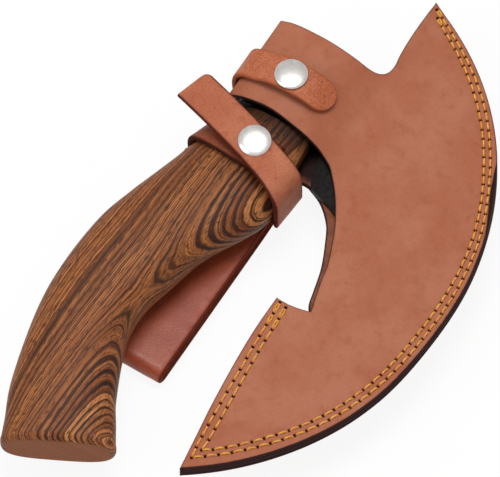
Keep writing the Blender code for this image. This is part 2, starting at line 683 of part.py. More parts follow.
def make_poll_strap():
    """Root on the back of the sheath, the bend round the poll, and the flap that snaps over the eye."""
    root_level = -(PANEL_CROWN + GAP + LEATHER / 2)
    points = [(POLL_STRAP_ROOT_X, POLL_STRAP_Y, root_level, 1.0)]
    for step in range(WRAP_STEPS + 1):
        x, z = poll_bend_point(270.0 - (270.0 - POLL_CREASE_TURN) * step / WRAP_STEPS)
        points.append((x, POLL_STRAP_Y, z, 1.0))
    fixed = ribbon("poll_strap", strap_edges(points, POLL_STRAP_WIDTH, Vector((0.0, 0.0, 0.0))))
    crease_x, crease_z = poll_bend_point(POLL_CREASE_TURN)
    start = (crease_x + GAP, crease_z)
    steps = FLAP_STEPS
    flap_points = [(start[0], POLL_STRAP_Y, start[1], 1.0)]
    for step in range(1, steps + 1):
        share = step / steps
        x = start[0] + (POLL_TIP_X - start[0]) * sin(share * pi / 2)
        blend = min(1.0, (x - start[0]) / LEATHER / 2)
        z = start[1] + (poll_flap_height(x) - start[1]) * blend
        width = max(TIP_END_SHARE, tip_width(POLL_TIP_X - x, POLL_TIP_ROUND))
        flap_points.append((x, poll_flap_y(x), z, width))
    point = (crease_x, POLL_STRAP_Y, crease_z)
    following = (flap_points[1][0], POLL_STRAP_Y, flap_points[1][2])
    location, hinge = crease_frame(point, following, (0.0, 1.0, 0.0), "poll_flap_hinge")
    flap = ribbon("poll_strap_flap", strap_edges(flap_points, POLL_STRAP_WIDTH, location), hinge)
    return fixed, flap, hinge


def strap_band(turn, level, power, edge):
    """Edge point of the wrap round the handle; edge is -1 for the lower edge and 1 for the upper one."""
    y = HANDLE_STRAP_Y + edge * HANDLE_STRAP_WIDTH / 2
    stations = handle_stations()
    centre = read_curve([(station[1], station[0]) for station in stations], y)
    width = read_curve([(station[1], station[2]) for station in stations], y)
    out = STRAP_EASE + LEATHER / 2
    x, z = rounded(turn, width / 2 + out, level, power)
    return centre + x, z


def strap_level():
    """Middle of the leather over the handle's thickest point under the strap."""
    stations = handle_stations()
    low_edge = HANDLE_STRAP_Y - HANDLE_STRAP_WIDTH / 2
    thickness = read_curve([(station[1], station[3]) for station in stations], low_edge - STRAP_EASE)
    return thickness / 2 + STRAP_EASE + LEATHER / 2


def make_handle_strap():
    """Fixed wrap with the under layer and both bends, and the flap that snaps over it."""
    level = strap_level()
    over = level + LEATHER + SNAP_STACK
    rise = smooth_curve(WRAP_RISE_SHARES)
    edges = []
    whole_turn = 360.0 + HANDLE_CREASE_TURN - UNDER_LAYER_TURN
    for step in range(WRAP_STEPS + 1):
        turn = UNDER_LAYER_TURN + whole_turn * step / WRAP_STEPS
        height = over if turn > 360.0 else level
        power = SECTION_POWER if turn < 180.0 else BACK_POWER
        pair = []
        for edge in (-1, 1):
            x, z = strap_band(turn, height, power, edge)
            y = HANDLE_STRAP_Y + (read_curve(rise, turn) + edge / 2) * HANDLE_STRAP_WIDTH
            pair.append(Vector((x, y, z)))
        edges.append(pair)
    fixed = ribbon("handle_strap", edges)
    return fixed, edges[-1], edges[-2], level, over


def make_handle_flap(crease, before, over):
    """Top layer of the handle strap from its crease over the snap to the free tail."""
    rise = smooth_curve(FLAP_RISE_SHARES)
    steps = WRAP_STEPS // 2
    along = (crease[0] - before[0] + crease[1] - before[1]).normalized()
    pairs = [[point + along * GAP for point in crease]]
    for step in range(1, steps + 1):
        turn = HANDLE_CREASE_TURN + (90.0 - HANDLE_CREASE_TURN) * step / steps
        pair = []
        for edge in (-1, 1):
            x, z = strap_band(turn, over, BACK_POWER, edge)
            y = HANDLE_STRAP_Y + (read_curve(rise, turn) + edge / 2) * HANDLE_STRAP_WIDTH
            pair.append(Vector((x, y, z)))
        pairs.append(pair)
    low, high = pairs[-1]
    start = (low + high) / 2
    across = (high - low) / 2
    end_across = Vector((TAIL_RISE_SHARE, 1.0, 0.0)).normalized() * across.length * TAIL_TAPER_SHARE
    run = start.x - SNAP_2_X + TAIL_LENGTH
    for step in range(1, steps + 1):
        share = sin(step / steps * pi / 2)
        middle = start + Vector((-run * share, run * share * TAIL_RISE_SHARE, -TAIL_FALL * share**2))
        half = across.lerp(end_across, share)
        half *= max(TAIL_END_SHARE, tip_width(run * (1.0 - share), TAIL_ROUND))
        pairs.append([middle - half, middle + half])
    middle = (crease[0] + crease[1]) / 2
    location, hinge = crease_frame(middle, middle + along, crease[1] - crease[0], "handle_flap_hinge")
    flap = ribbon("handle_strap_flap", [[point - location for point in pair] for pair in pairs], hinge)
    return flap, hinge


# Snaps and rivets


def snap_levels(base):
    """Heights of a snap's pieces over the leather that carries its stud."""
    return {
        "flange": base - LEATHER - SNAP_SAG - GAP,
        "base": base + GAP,
        "button": base + SNAP_STACK - GAP - SNAP_FLANGE_THICKNESS - GAP,
        "ring": base + GAP + SNAP_FLANGE_THICKNESS + GAP,
        "roof": base + SNAP_STACK - GAP,
        "cap": base + SNAP_STACK + LEATHER + GAP,
    }


def make_snap(number, x, y, base, flap, carrier, hinge):
    """Post and stud on the carrying leather, socket and cap on the flap."""
    level = snap_levels(base)
    shank = SNAP_SHANK_DIAMETER / 2
    ring = SNAP_RING_DIAMETER / 2
    button = SNAP_BUTTON_DIAMETER / 2
    flange = SNAP_FLANGE_DIAMETER / 2
    place = (x, y, 0.0)
    post = ((0.0, level["base"]), (shank - GAP, level["base"]), (shank - GAP, level["flange"]),
            (flange, level["flange"]), (flange, level["flange"] - SNAP_FLANGE_THICKNESS),
            (0.0, level["flange"] - SNAP_FLANGE_THICKNESS))
    turned(f"snap_{number}_post", post, NICKEL, ROOT, location=place)
    rim_high = level["base"] + SNAP_FLANGE_THICKNESS
    ease = SNAP_FLANGE_THICKNESS / 2
    stud = ((0.0, level["button"]), (button - ease, level["button"]), (button, level["button"] - ease),
            (button - ease, rim_high), (ring, rim_high), (ring, level["base"] + GAP),
            (0.0, level["base"] + GAP))
    turned(f"snap_{number}_stud", stud, NICKEL, ROOT, location=place)
    offset = Vector(place) - hinge.location
    inner = button + SNAP_BUTTON_CLEARANCE
    ceiling = level["roof"] - SNAP_FLANGE_THICKNESS
    socket = ((ring, level["roof"]), (ring, level["ring"]), (inner, level["ring"]),
              (inner, ceiling), (shank + GAP, ceiling), (shank + GAP, level["roof"]))
    turned(f"snap_{number}_socket", socket, NICKEL, hinge, location=offset)
    rim = SNAP_CAP_DIAMETER / 2
    crown = 1.0 - CAP_RIM_SHARE
    dome = []
    for turn in (75, 60, 45, 30, 15, 0):
        rise = SNAP_CAP_HEIGHT * (CAP_RIM_SHARE + crown * sin(radians(turn)))
        dome.append((rim * cos(radians(turn)), level["cap"] + rise))
    top = level["cap"] + SNAP_CAP_HEIGHT
    shank_end = ceiling + GAP
    cap = [(0.0, top)] + dome + [(rim - GAP, level["cap"]), (shank, level["cap"]),
                                 (shank, shank_end), (0.0, shank_end)]
    turned(f"snap_{number}_cap", cap, NICKEL, hinge, location=offset)
    hole = SNAP_SHANK_DIAMETER + 2 * GAP
    flap_cut = drill(f"snap_{number}_flap_cut", x, y, level["roof"] - GAP, level["cap"] + OVERRUN, hole)
    boolean(flap, flap_cut, "DIFFERENCE")
    under = level["flange"] - OVERRUN
    carrier_cut = drill(f"snap_{number}_carrier_cut", x, y, under, level["base"] + GAP, hole)
    boolean(carrier, carrier_cut, "DIFFERENCE")


def make_rivet(name, x, y, inner, outer, layers):
    """Double-cap rivet through layers of leather, from an inner face to an outer one below it."""
    shank = RIVET_SHANK_DIAMETER / 2
    rim = RIVET_CAP_DIAMETER / 2
    flange = RIVET_FLANGE_DIAMETER / 2
    head = SNAP_FLANGE_THICKNESS
    cap_low = outer - GAP
    seat = inner + GAP
    post = ((0.0, seat + head), (flange, seat + head), (flange, seat), (shank, seat),
            (shank, cap_low + GAP), (0.0, cap_low + GAP))
    turned(name + "_post", post, NICKEL, ROOT, location=(x, y, 0.0))
    crown = 1.0 - RIVET_RIM_SHARE
    dome = []
    for turn in (0, 20, 40, 60):
        rise = RIVET_CAP_HEIGHT * (RIVET_RIM_SHARE + crown * sin(radians(turn)))
        dome.append((rim * cos(radians(turn)), cap_low - rise))
    cap = [(0.0, cap_low), (rim, cap_low)] + dome + [(0.0, cap_low - RIVET_CAP_HEIGHT)]
    turned(name + "_cap", cap, NICKEL, ROOT, location=(x, y, 0.0))
    hole = RIVET_SHANK_DIAMETER + 2 * GAP
    cut = drill(name + "_cut", x, y, cap_low - OVERRUN, seat + OVERRUN, hole)
    for layer in layers:
        boolean(layer, cut, "DIFFERENCE")


# Belt loop


def loop_height(y, poll_level, handle_level):
    """Height of a belt loop layer that eases from its level at the poll to the one behind the handle."""
    share = min(1.0, max(0.0, (y - LOOP_OPEN_Y) / (LOOP_JOINED_Y - LOOP_OPEN_Y)))
    return handle_level + (poll_level - handle_level) * (1.0 - cos(pi * share)) / 2


def make_belt_loop(strap_back):
    """Wide strip that folds at the bottom, its two layers meeting under the poll strap's root."""
    front = (-(PANEL_CROWN + GAP + LEATHER + GAP + LEATHER / 2), strap_back - GAP - LEATHER / 2)
    back = (front[0] - LEATHER - GAP, front[1] - LEATHER - BELT_SLOT)
    open_run = LOOP_OPEN_Y - LOOP_JOINED_Y
    eased = [LOOP_JOINED_Y + open_run * step / LOOP_STEPS for step in range(LOOP_STEPS + 1)]
    runs = [LOOP_TOP_Y] + eased + [LOOP_FOLD_Y]
    radius = (front[1] - back[1]) / 2
    path = [(y, loop_height(y, *front)) for y in runs]
    for step in range(1, LOOP_STEPS):
        turn = pi * step / LOOP_STEPS
        path.append((LOOP_FOLD_Y - radius * sin(turn), back[1] + radius * (1.0 + cos(turn))))
    path += [(y, loop_height(y, *back)) for y in reversed(runs)]
    rows = [[(LOOP_X - LOOP_WIDTH / 2, y, z), (LOOP_X + LOOP_WIDTH / 2, y, z)] for y, z in path]
    loop = sheet("belt_loop", rows, LOOP_LEATHER, 0.0)
    rivet_edge = HANDLE_STRAP_Y + RIVET_CAP_DIAMETER / 2
    faces = {
        "poll": back[0] - LEATHER / 2,
        "strap": loop_height(rivet_edge, *front) - LEATHER / 2,
        "rest": back[1] - LEATHER / 2,
    }
    return loop, faces


def build():
    front = make_panel("sheath_front_panel", FRONT_MOUTH_SHARES, 1)
    back = make_panel("sheath_back_panel", BACK_MOUTH_SHARES, -1)
    make_welt()
    make_head()
    make_handle()
    wedge_body("eye_wedge", 0.0, 0.0, WEDGE_WOOD)
    poll_strap, poll_flap, poll_hinge = make_poll_strap()
    handle_strap, crease, before, level, over = make_handle_strap()
    handle_flap, handle_hinge = make_handle_flap(crease, before, over)
    strap_back = -level - LEATHER / 2
    belt_loop, faces = make_belt_loop(strap_back)
    make_snap(1, SNAP_1_X, poll_flap_y(SNAP_1_X), PANEL_CROWN, poll_flap, front, poll_hinge)
    snap_2_y = HANDLE_STRAP_Y + SNAP_2_RISE
    make_snap(2, SNAP_2_X, snap_2_y, level + LEATHER / 2, handle_flap, handle_strap, handle_hinge)
    for number, side in ((1, -1), (2, 1)):
        x = EYE_X + side * POLL_RIVET_SPACING / 2
        inner = LEATHER + SNAP_SAG - panel_height(x)
        make_rivet(f"belt_rivet_{number}", x, POLL_STRAP_Y, inner, faces["poll"],
                   (back, poll_strap, belt_loop))
        x = LOOP_X + side * STRAP_RIVET_SPACING / 2
        inner = strap_back + LEATHER + SNAP_SAG
        make_rivet(f"strap_rivet_{number}", x, HANDLE_STRAP_Y, inner, faces["strap"],
                   (handle_strap, belt_loop))
    ROOT.location = (-LOOP_X, -(LOOP_OPEN_Y + LOOP_FOLD_Y) / 2, -faces["rest"])
    bpy.context.view_layer.update()


build()
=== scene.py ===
# Looks of the ulu knife in its leather sheath: leather, thread, oiled wood, dark steel and nickel.
# Millimetres, from the blade's middle plane: X across the handle, Y along it, Z out of the blade.

from math import atan2, ceil, copysign, cos, degrees, hypot, pi, radians, sin, sqrt

import bmesh
import bpy
import numpy as np
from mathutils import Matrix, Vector, noise
from mathutils.geometry import delaunay_2d_cdt
from mathutils.kdtree import KDTree


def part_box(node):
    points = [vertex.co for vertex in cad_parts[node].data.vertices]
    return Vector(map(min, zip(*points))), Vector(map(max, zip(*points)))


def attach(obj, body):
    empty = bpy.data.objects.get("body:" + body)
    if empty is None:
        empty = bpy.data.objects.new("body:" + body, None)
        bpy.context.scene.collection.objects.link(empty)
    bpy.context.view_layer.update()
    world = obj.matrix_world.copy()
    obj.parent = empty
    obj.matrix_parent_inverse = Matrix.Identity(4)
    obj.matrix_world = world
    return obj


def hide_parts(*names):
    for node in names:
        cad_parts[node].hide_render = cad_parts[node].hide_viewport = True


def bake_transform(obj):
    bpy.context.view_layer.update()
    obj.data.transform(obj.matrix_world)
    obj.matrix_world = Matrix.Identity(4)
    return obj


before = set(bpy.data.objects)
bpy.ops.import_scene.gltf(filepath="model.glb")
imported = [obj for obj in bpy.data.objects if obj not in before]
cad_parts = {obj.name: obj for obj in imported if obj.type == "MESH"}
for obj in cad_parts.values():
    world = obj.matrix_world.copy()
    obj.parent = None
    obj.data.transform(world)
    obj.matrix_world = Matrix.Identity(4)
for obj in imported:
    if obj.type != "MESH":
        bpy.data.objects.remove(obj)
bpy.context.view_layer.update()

MM = 0.001

# Leather and clearances, as in the construction
GAP = 0.3
LEATHER = 2.1
WELT_THICKNESS = 2.2
WELT_WIDTH = 8.7

# Sheath outline
CRESCENT_RADIUS = 130.4
CRESCENT = (-47.1, 4.9)
EDGE_WAVE = 1.6
SHEATH_TOP_Y = 84.0
POLL_EDGE_X = -41.3
MOUTH_TOP_Y = 46.5
MOUTH_SPAN = 76.8
MOUTH_DROP = 63.1
HORN_X = 5.5
STEP_WIDTH = 14.5
STEP_DROP_SHARE = 0.12
STEP_SAG = 0.8
STEP_SPOTS = (0.25, 0.5, 0.75, 0.9)

# Head and handle
EYE_X = -18.5
EYE_RIM_Y = 46.5
EYE_TOP_Y = 82.0
EYE_HALF_THICKNESS = 8.4
EYE_EASE = 2.2
EYE_REACH = 31.0
EYE_HOLE_LENGTH = 29.0
EYE_HOLE_THICKNESS = 12.2
HANDLE_REACH = 164.9
HANDLE_WIDTH = 45.0
HANDLE_THICKNESS = 24.6
BUTT_ROUND = 3.0
BUTT_FACE_SHARES = (0.9, 0.75, 0.55, 0.3)
TENON_TOP_Y = EYE_TOP_Y - 0.5
HANDLE_SIDES = 72
WEDGE_LENGTH = 24.0
WEDGE_DEPTH = 20.0
WEDGE_TOP_THICKNESS = 3.0
WEDGE_TIP_THICKNESS = 1.2

# Poll strap
POLL_STRAP_WIDTH = 13.8
POLL_STRAP_Y = 60.2
POLL_FLAP_RISE = 1.4
POLL_STRAP_ROOT_X = -11.5
POLL_BEND_X = -34.0
POLL_BEND_REACH = 9.9
POLL_CREASE_TURN = 104.0
POLL_TIP_X = -3.2
POLL_TIP_ROUND = 7.0
POLL_TIP_ROWS = 8            # of the strap's even rows, laid closer together towards the tip
POLL_TIP_STEPS = 24
SNAP_1_X = -21.9

# Handle strap
HANDLE_STRAP_WIDTH = 15.8
HANDLE_STRAP_Y = 27.2
STRAP_EASE = 1.0
HANDLE_CREASE_TURN = 36.0
UNDER_LAYER_TURN = 62.0
SEAM_TURN = 292.0            # where the strap's two pieces meet behind the handle
SEAM_OVERLAP = 3.0
TAIL_LENGTH = 34.0
TAIL_END_EXTRA = 0.8         # the tail as seen, beyond the flap's own end
TAIL_FALL = 2.6
TAIL_ROUND = 2.6
TAIL_STEPS = 60              # even ones, then ones that shorten towards the rounded end
TAIL_FINE_STEPS = 20
SNAP_2_X = -18.2
SNAP_2_RISE = 0.8

# Snaps
SNAP_STACK = 3.0
SNAP_RING_DIAMETER = 11.0
SNAP_CAP_DIAMETER = 13.2
SNAP_CAP_HEIGHT = 1.9
CAP_SIDES = 56
CAP_RIM_SHARE = 0.3          # of its height
SNAP_2_TILT = (0.05, -0.10, 1.0)

# For a bend of each flap's leather across its crease, not made: along which direction, and from how far before
# the crease
POLL_BLEND = ((0.35, 0.0, 1.0), 1.0)
HANDLE_BLEND = ((-0.3, 0.0, 1.0), 1.2)

# Belt loop
LOOP_WIDTH = 36.6
LOOP_X = -22.2
LOOP_TOP_Y = 76.0
LOOP_FOLD_Y = -60.0
BELT_SLOT = 5.0
LOOP_JOINED_Y = 52.0
LOOP_OPEN_Y = 10.0

# Outline and section shares, as in the construction
BULGE_SHARES = ((-0.82, 0.10), (-0.72, 0.40), (-0.60, 0.66), (-0.47, 0.83), (-0.30, 0.93), (-0.05, 1.0),
                (0.18, 0.93), (0.40, 0.76), (0.60, 0.44), (0.79, 0.14), (0.98, 0.0))
FRONT_MOUTH_SHARES = ((0.0, 0.02), (0.10, 0.01), (0.23, 0.0), (0.39, 0.02), (0.53, 0.038), (0.589, 0.058),
                      (0.638, 0.087), (0.668, 0.118), (0.746, 0.228), (0.828, 0.381), (0.875, 0.497),
                      (0.934, 0.683), (0.953, 0.794), (1.0, 1.0))
BACK_MOUTH_SHARES = ((0.0, 0.05), (0.16, 0.13), (0.36, 0.18), (0.57, 0.223), (0.618, 0.249), (0.667, 0.277),
                     (0.717, 0.318), (0.756, 0.362), (0.796, 0.42), (0.835, 0.51), (0.875, 0.614),
                     (0.904, 0.706), (0.934, 0.844), (0.957, 0.945), (1.0, 1.0))
HORN_SHARES = ((-0.16, -0.003), (-0.077, 0.012), (-0.012, 0.055), (0.02, 0.12), (0.025, 0.215),
               (0.008, 0.313), (-0.007, 0.55), (-0.007, 0.80))
TOP_EDGE_SHARES = ((0.0, 0.0), (0.15, 0.003), (0.5, 0.0), (0.72, -0.004))
SIDE_SHARES = ((0.0, 0.0), (0.0, 0.16), (0.011, 0.345), (0.036, 0.59), (0.058, 0.745), (0.08, 0.90))
WAVE_SHARES = ((-55.0, 0.0), (-30.0, 0.15), (-18.0, -0.15), (-3.0, -1.0), (14.0, -0.2), (34.0, 0.8),
               (50.0, 0.7), (66.0, 0.0))
HANDLE_SHARES = ((0.013, 1.0, 1.01, 0.86), (-0.018, 0.94, 0.967, 0.90), (-0.060, 0.857, 0.922, 0.94),
                 (-0.113, 0.695, 0.835, 0.99), (-0.124, 0.574, 0.837, 1.01), (-0.109, 0.455, 0.897, 1.0),
                 (-0.090, 0.376, 0.89, 0.985), (-0.068, 0.313, 0.908, 0.97), (-0.036, 0.235, 0.963, 0.945),
                 (-0.022, 0.188, 0.985, 0.92), (-0.015, 0.11, 0.844, 0.80), (0.0, 0.022, 0.69, 0.65),
                 (0.0, 0.0, 0.667, 0.626))
SECTION_POWER = 2.4
BUTT_POWER = 3.2
BACK_POWER = 3.6
BEND_POWER = 5.2             # of the handle strap over its snap side
BEND_FLARE = 3.4             # of its upper edge beside the handle's taper, and the drop of its lower one
BEND_DROP = 1.4
# Turns over which the flare grows and fades, the strap rises over its under layer, and it turns square
FLARE_START = (300.0, 345.0)
FLARE_END = (60.0, 90.0)
LIFT_TURNS = (350.0, 372.0)
SQUARE_TURNS = (320.0, 350.0)
WRAP_RISE_SHARES = ((62.0, -0.03), (90.0, 0.0), (180.0, 0.17), (270.0, -0.05), (330.0, -0.33), (360.0, -0.43),
                    (396.0, -0.42))
FLAP_RISE_SHARES = (0.05, -0.42)
TAIL_RISE_SHARE = 0.31
TAIL_TAPER_SHARE = 0.98
TIP_END_SHARE = 0.2
NO_SETBACK = ((0.0, 0.0),)
# How far the front leather is cut back from the layers under it: degrees round the crescent, millimetres
SETBACK = ((-15.0, 0.0), (10.0, 0.2), (19.3, 0.4), (23.0, 1.3), (26.6, 1.9), (28.5, 1.8), (30.0, 1.3),
           (31.5, 1.0), (33.5, 0.0))

# Sewing: share of the row, distance between holes
STITCH_PITCH = ((0.0, 3.6), (0.10, 4.3), (0.2, 4.0), (0.35, 4.3), (0.48, 4.4), (0.6, 4.9), (0.75, 5.2),
                (1.0, 5.6))
# Each row's distance from the sheath's edge: by degrees round the crescent, then by height up the straight edge
OUTER_ROW = (((-52.4, 4.4), (-42.0, 4.0), (-33.0, 3.4), (-13.0, 2.8), (9.0, 2.55), (19.0, 2.35), (30.0, 2.9),
              (37.0, 2.6), (45.0, 2.05), (59.0, 2.1), (65.0, 1.5)),
             ((-95.0, 2.1), (-84.0, 2.3), (-73.0, 2.9), (-51.0, 3.5), (-39.0, 3.2), (-29.0, 3.1), (-19.3, 2.2)))
INNER_ROW = (((-50.5, 6.8), (-38.0, 6.55), (-30.0, 6.0), (-9.0, 5.5), (8.0, 5.25), (18.0, 4.85), (33.0, 5.3),
              (40.0, 4.9), (50.0, 4.4), (60.8, 4.0), (63.6, 3.2)),
             ((-90.5, 4.5), (-86.0, 5.3), (-74.0, 6.0), (-58.0, 6.2), (-31.0, 6.0), (-20.2, 5.4)))
THREAD_DIAMETER = 0.86
THREAD_SIDES = 8
THREAD_TWIST = 5.0           # of the two strands over a stitch, in radians
THREAD_LAY = (0.86, 0.2)     # its radius between the strands, and how much more on them
THREAD_SHIFT = 0.06          # of single stitches to either side in turn, and of doubled ones
DOUBLED_SHIFT = 0.5
# Along a stitch: share of its length, height over the leather
STITCH_RISE = ((0.13, -1.1), (0.165, -0.55), (0.2, -0.05), (0.25, 0.2), (0.36, 0.33), (0.5, 0.36), (0.64, 0.33),
               (0.75, 0.2), (0.8, -0.05), (0.835, -0.55), (0.87, -1.1))
DOUBLED_STITCHES = (1, 2)    # sewn twice at the horn and at the step
STITCH_SLANT = 0.12
HOLE_SEARCH = 0.25           # how finely a row is searched for its holes' places
# Points of a stitch hole: radius, depth, how many
HOLE_RINGS = ((0.0, 1.4, 1), (0.42, 1.15, 6), (0.68, 0.3, 8), (0.86, 0.04, 10))
HOLE_CLEAR = HOLE_RINGS[-1][0] + 0.35
HOLE_SHADE_RADIUS = 0.4              # radius within which a hole is darkened with painted shade
FRONT_SEED = 3.0             # of each face's own unevenness
BACK_SEED = 11.0
# Unevenness of a leather face: height, size, shift of its seed
RELIEF_WAVES = ((0.16, 34.0, 0.0), (0.05, 9.0, 5.0))
GROOVE_DEPTH = 0.2
GROOVE_WIDTH = 0.8
BAND_STEP = 0.75             # mesh size beside the sewn edges
BAND_DEPTH = 10.0
FIELD_STEP = 2.2             # mesh size elsewhere
EDGE_STEP = 0.9
CORNER_COSINE = 0.85
LEAST_EDGE = 0.02
SLOPE_STEP = 0.25
THIN_SHARE = 0.6             # least distance between a mesh's inner points, as a share of its step
BORDER_SHARE = 0.55          # and between them and its edge
WELT_CLEAR = 0.04            # between the welt and the panels
# How dark a face is beside its edge, and the two distances between which that fades
FACE_DYE = (0.4, 0.5, 1.4)
WELT_DYE = (0.95, 3.0, 4.5)
# Strap's section and ends: corner, spots across its face, reach of the cut edge's dye, thinning of the ends
STRAP_CORNER = 0.75
FACE_SPOTS = (-1.0, -0.86, -0.6, -0.3, 0.0, 0.3, 0.6, 0.86, 1.0)
STRAP_DYE = (2.2, 0.5)
STRAP_END_THIN = (0.72, 0.94, 1.0)
STRAP_ROUGH = 0.07           # unevenness of its leather, and its size
ROUGH_SIZE = 6.0
# Rounded cut edge of a leather layer: inset from the outline, depth below the face, how dark it is dyed
TOP_RIM = ((0.5, 0.0, 0.0), (0.3, 0.05, 0.6), (0.12, 0.2, 1.0), (0.02, 0.5, 1.0))
LOW_RIM = ((0.0, 0.6, 1.0), (0.2, 0.15, 1.0), (0.4, 0.0, 0.8), (0.8, 0.0, 0.55))

# Painted shade on the flesh side round the eye: full, and none at all, this far from it
EYE_SHADE_REACH = (22.0, 27.0)
FLESH_SHADE = 0.52            # painted shade of the flesh side elsewhere

# Wood grain: direction through the growth layers, where they start to lean, and by how much
GRAIN_NORMAL = (0.72, 0.015, 0.69)
GRAIN_BEND_Y = -25.0
GRAIN_LEAN = 0.06
# Dark growth layers: depth, half thickness, share of dark
DARK_LAYERS = ((-22.3, 1.5, 0.8), (-19.5, 0.6, 0.75), (-17.9, 0.6, 0.7), (-12.8, 0.7, 0.5), (-9.9, 0.8, 0.55),
               (-6.4, 0.6, 0.9), (-4.7, 0.8, 1.0), (-2.9, 0.55, 1.0), (-1.4, 0.55, 1.0), (1.1, 0.4, 0.8),
               (2.5, 0.4, 0.9), (3.9, 0.4, 0.9), (5.3, 0.4, 0.8))
LAYER_MARGIN = 5.0           # of plain wood beside the outermost ones
NECK_SHADOW_Y = (33.0, 45.0)        # painted shadow of the sheath on the wood towards the head

# View, light and paper; lamps: azimuth, elevation, distance, size, power
KEY_LAMP = (205.0, 83.0, 1.2, 0.6, 7.6)
FILL_LAMP = (-35.0, 48.0, 1.4, 1.0, 4.0)
CAMERA_AZIMUTH = 32.1
CAMERA_ELEVATION = 63.0
CAMERA_DISTANCE = 8.0
CAMERA_WIDTH = 0.195         # width of the view at the object
CAMERA_SENSOR = 36.0
TARGET = (-2.33, -0.68, 0.0)
FLOOR_SIZE = 3.0
FLOOR_CLEAR = 0.0003
PAPER_GLOW = 0.9             # share of the paper's own white in what is seen of it
WORLD_LIGHT = 0.42
HORIZON_WHITE = 0.7          # of the backdrop as metal shows it, brightest overhead

FRAME_X = -LOOP_X
FRAME_Y = -(LOOP_OPEN_Y + LOOP_FOLD_Y) / 2
HEAD_LOW, HEAD_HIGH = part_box("blade_head")
FRAME_Z = (HEAD_LOW[2] + HEAD_HIGH[2]) / 2 / MM

PANEL_FLAT = WELT_THICKNESS / 2 + GAP + LEATHER
PANEL_CROWN = EYE_HALF_THICKNESS + EYE_EASE + LEATHER


def circle_reach(radius, x):
    return sqrt(radius**2 - (x - CRESCENT[0]) ** 2)


HORN_TIP_Y = CRESCENT[1] + circle_reach(CRESCENT_RADIUS, HORN_X)
HORN_HEIGHT = HORN_TIP_Y - SHEATH_TOP_Y
STEP_X = POLL_EDGE_X + MOUTH_SPAN - STEP_WIDTH
STEP_Y = MOUTH_TOP_Y - MOUTH_DROP - STEP_WIDTH * STEP_DROP_SHARE
SIDE_LENGTH = STEP_Y - CRESCENT[1] + circle_reach(CRESCENT_RADIUS, STEP_X)


def place(point):
    """World place in metres of a point in the blade's frame."""
    return Vector(((point[0] + FRAME_X) * MM, (point[1] + FRAME_Y) * MM, (point[2] + FRAME_Z) * MM))


def srgb(red, green, blue):
    """Linear colour of a screen colour from 0 to 255."""
    values = [value / 255 for value in (red, green, blue)]
    return tuple(v / 12.92 if v <= 0.04045 else ((v + 0.055) / 1.055) ** 2.4 for v in values)


# Curves and sections


def smooth_curve(points, steps):
    """Catmull-Rom curve through points of any size, with the given steps in each span."""
    ends = [points[0], *points, points[-1]]
    curve = []
    for a, b, c, d in zip(ends, ends[1:], ends[2:], ends[3:]):
        for step in range(steps):
            t = step / steps
            weights = ((-t + 2 * t**2 - t**3) / 2, (2 - 5 * t**2 + 3 * t**3) / 2,
                       (t + 4 * t**2 - 3 * t**3) / 2, (t**3 - t**2) / 2)
            curve.append(tuple(sum(w * p[i] for w, p in zip(weights, (a, b, c, d))) for i in range(len(b))))
    return [*curve, tuple(points[-1])]


def read_curve(curve, x, column=1):
    """Value of a curve at x, and its end values beyond its ends."""
    if x <= curve[0][0]:
        return curve[0][column]
    for low, high in zip(curve, curve[1:]):
        if x <= high[0]:
            return low[column] + (high[column] - low[column]) * (x - low[0]) / (high[0] - low[0])
    return curve[-1][column]


def rounded(turn, half_width, half_height, power=SECTION_POWER):
    """Point of a superellipse at a turn in degrees."""
    c = cos(radians(turn))
    s = sin(radians(turn))
    return copysign(half_width * abs(c) ** (2 / power), c), copysign(half_height * abs(s) ** (2 / power), s)


def smooth_step(low, high, value):
    share = min(1.0, max(0.0, (value - low) / (high - low)))
    return share * share * (3 - 2 * share)


def spread(shares, x0, x_size, y0, y_size):
    return [(x0 + x * x_size, y0 + y * y_size) for x, y in shares]


def unevenness(x, y, size, seed):
    return noise.noise(Vector((x / size, y / size, seed)))


def even_marks(line, step):
    """Span and share of each place along a line, at even distances of about a step."""
    lengths = [0.0]
    for a, b in zip(line, line[1:]):
        lengths.append(lengths[-1] + (b - a).length)
    count = max(2, round(lengths[-1] / step))
    index = 0
    for number in range(count + 1):
        reach = lengths[-1] * number / count
        while index < len(line) - 2 and lengths[index + 1] < reach:
            index += 1
        span = lengths[index + 1] - lengths[index]
        yield index, (reach - lengths[index]) / span if span > 0 else 0.0


def resample(points, step):
    """The same line with points an even distance apart."""
    line = [Vector(point) for point in points]
    return [line[index].lerp(line[index + 1], share) for index, share in even_marks(line, step)]


def pair_between(pairs, index, share):
    return tuple(a.lerp(b, share) for a, b in zip(pairs[index], pairs[index + 1]))


def even_pairs(pairs, step):
    """Edge pairs at even distances along their middle."""
    middles = [(low + high) / 2 for low, high in pairs]
    return [pair_between(pairs, index, share) for index, share in even_marks(middles, step)]


def softened(rows, rounds):
    """Rows of points with the kinks from one row to the next eased."""
    for _ in range(rounds):
        inner = [tuple((p + q * 2 + r) / 4 for p, q, r in zip(*near))
                 for near in zip(rows, rows[1:], rows[2:])]
        rows = [rows[0], *inner, rows[-1]]
    return rows


def sharp_ring(outline, step):
    """Closed line with points about a step apart, smooth between the corners that it keeps."""
    line = [Vector(point) for point in outline]
    line = [point for point, ahead in zip(line, line[1:] + line[:1]) if (ahead - point).length > LEAST_EDGE]
    count = len(line)
    corners = []
    for index, point in enumerate(line):
        before = (point - line[index - 1]).normalized()
        after = (line[(index + 1) % count] - point).normalized()
        if before.dot(after) < CORNER_COSINE:
            corners.append(index)
    ring = []
    for corner, following in zip(corners, corners[1:] + corners[:1]):
        span = (following - corner) % count or count
        piece = resample([line[(corner + number) % count] for number in range(span + 1)], step)
        ring += [row[0] for row in softened([(point,) for point in piece], 2)][:-1]
    return ring


WAVE = smooth_curve(WAVE_SHARES, 8)


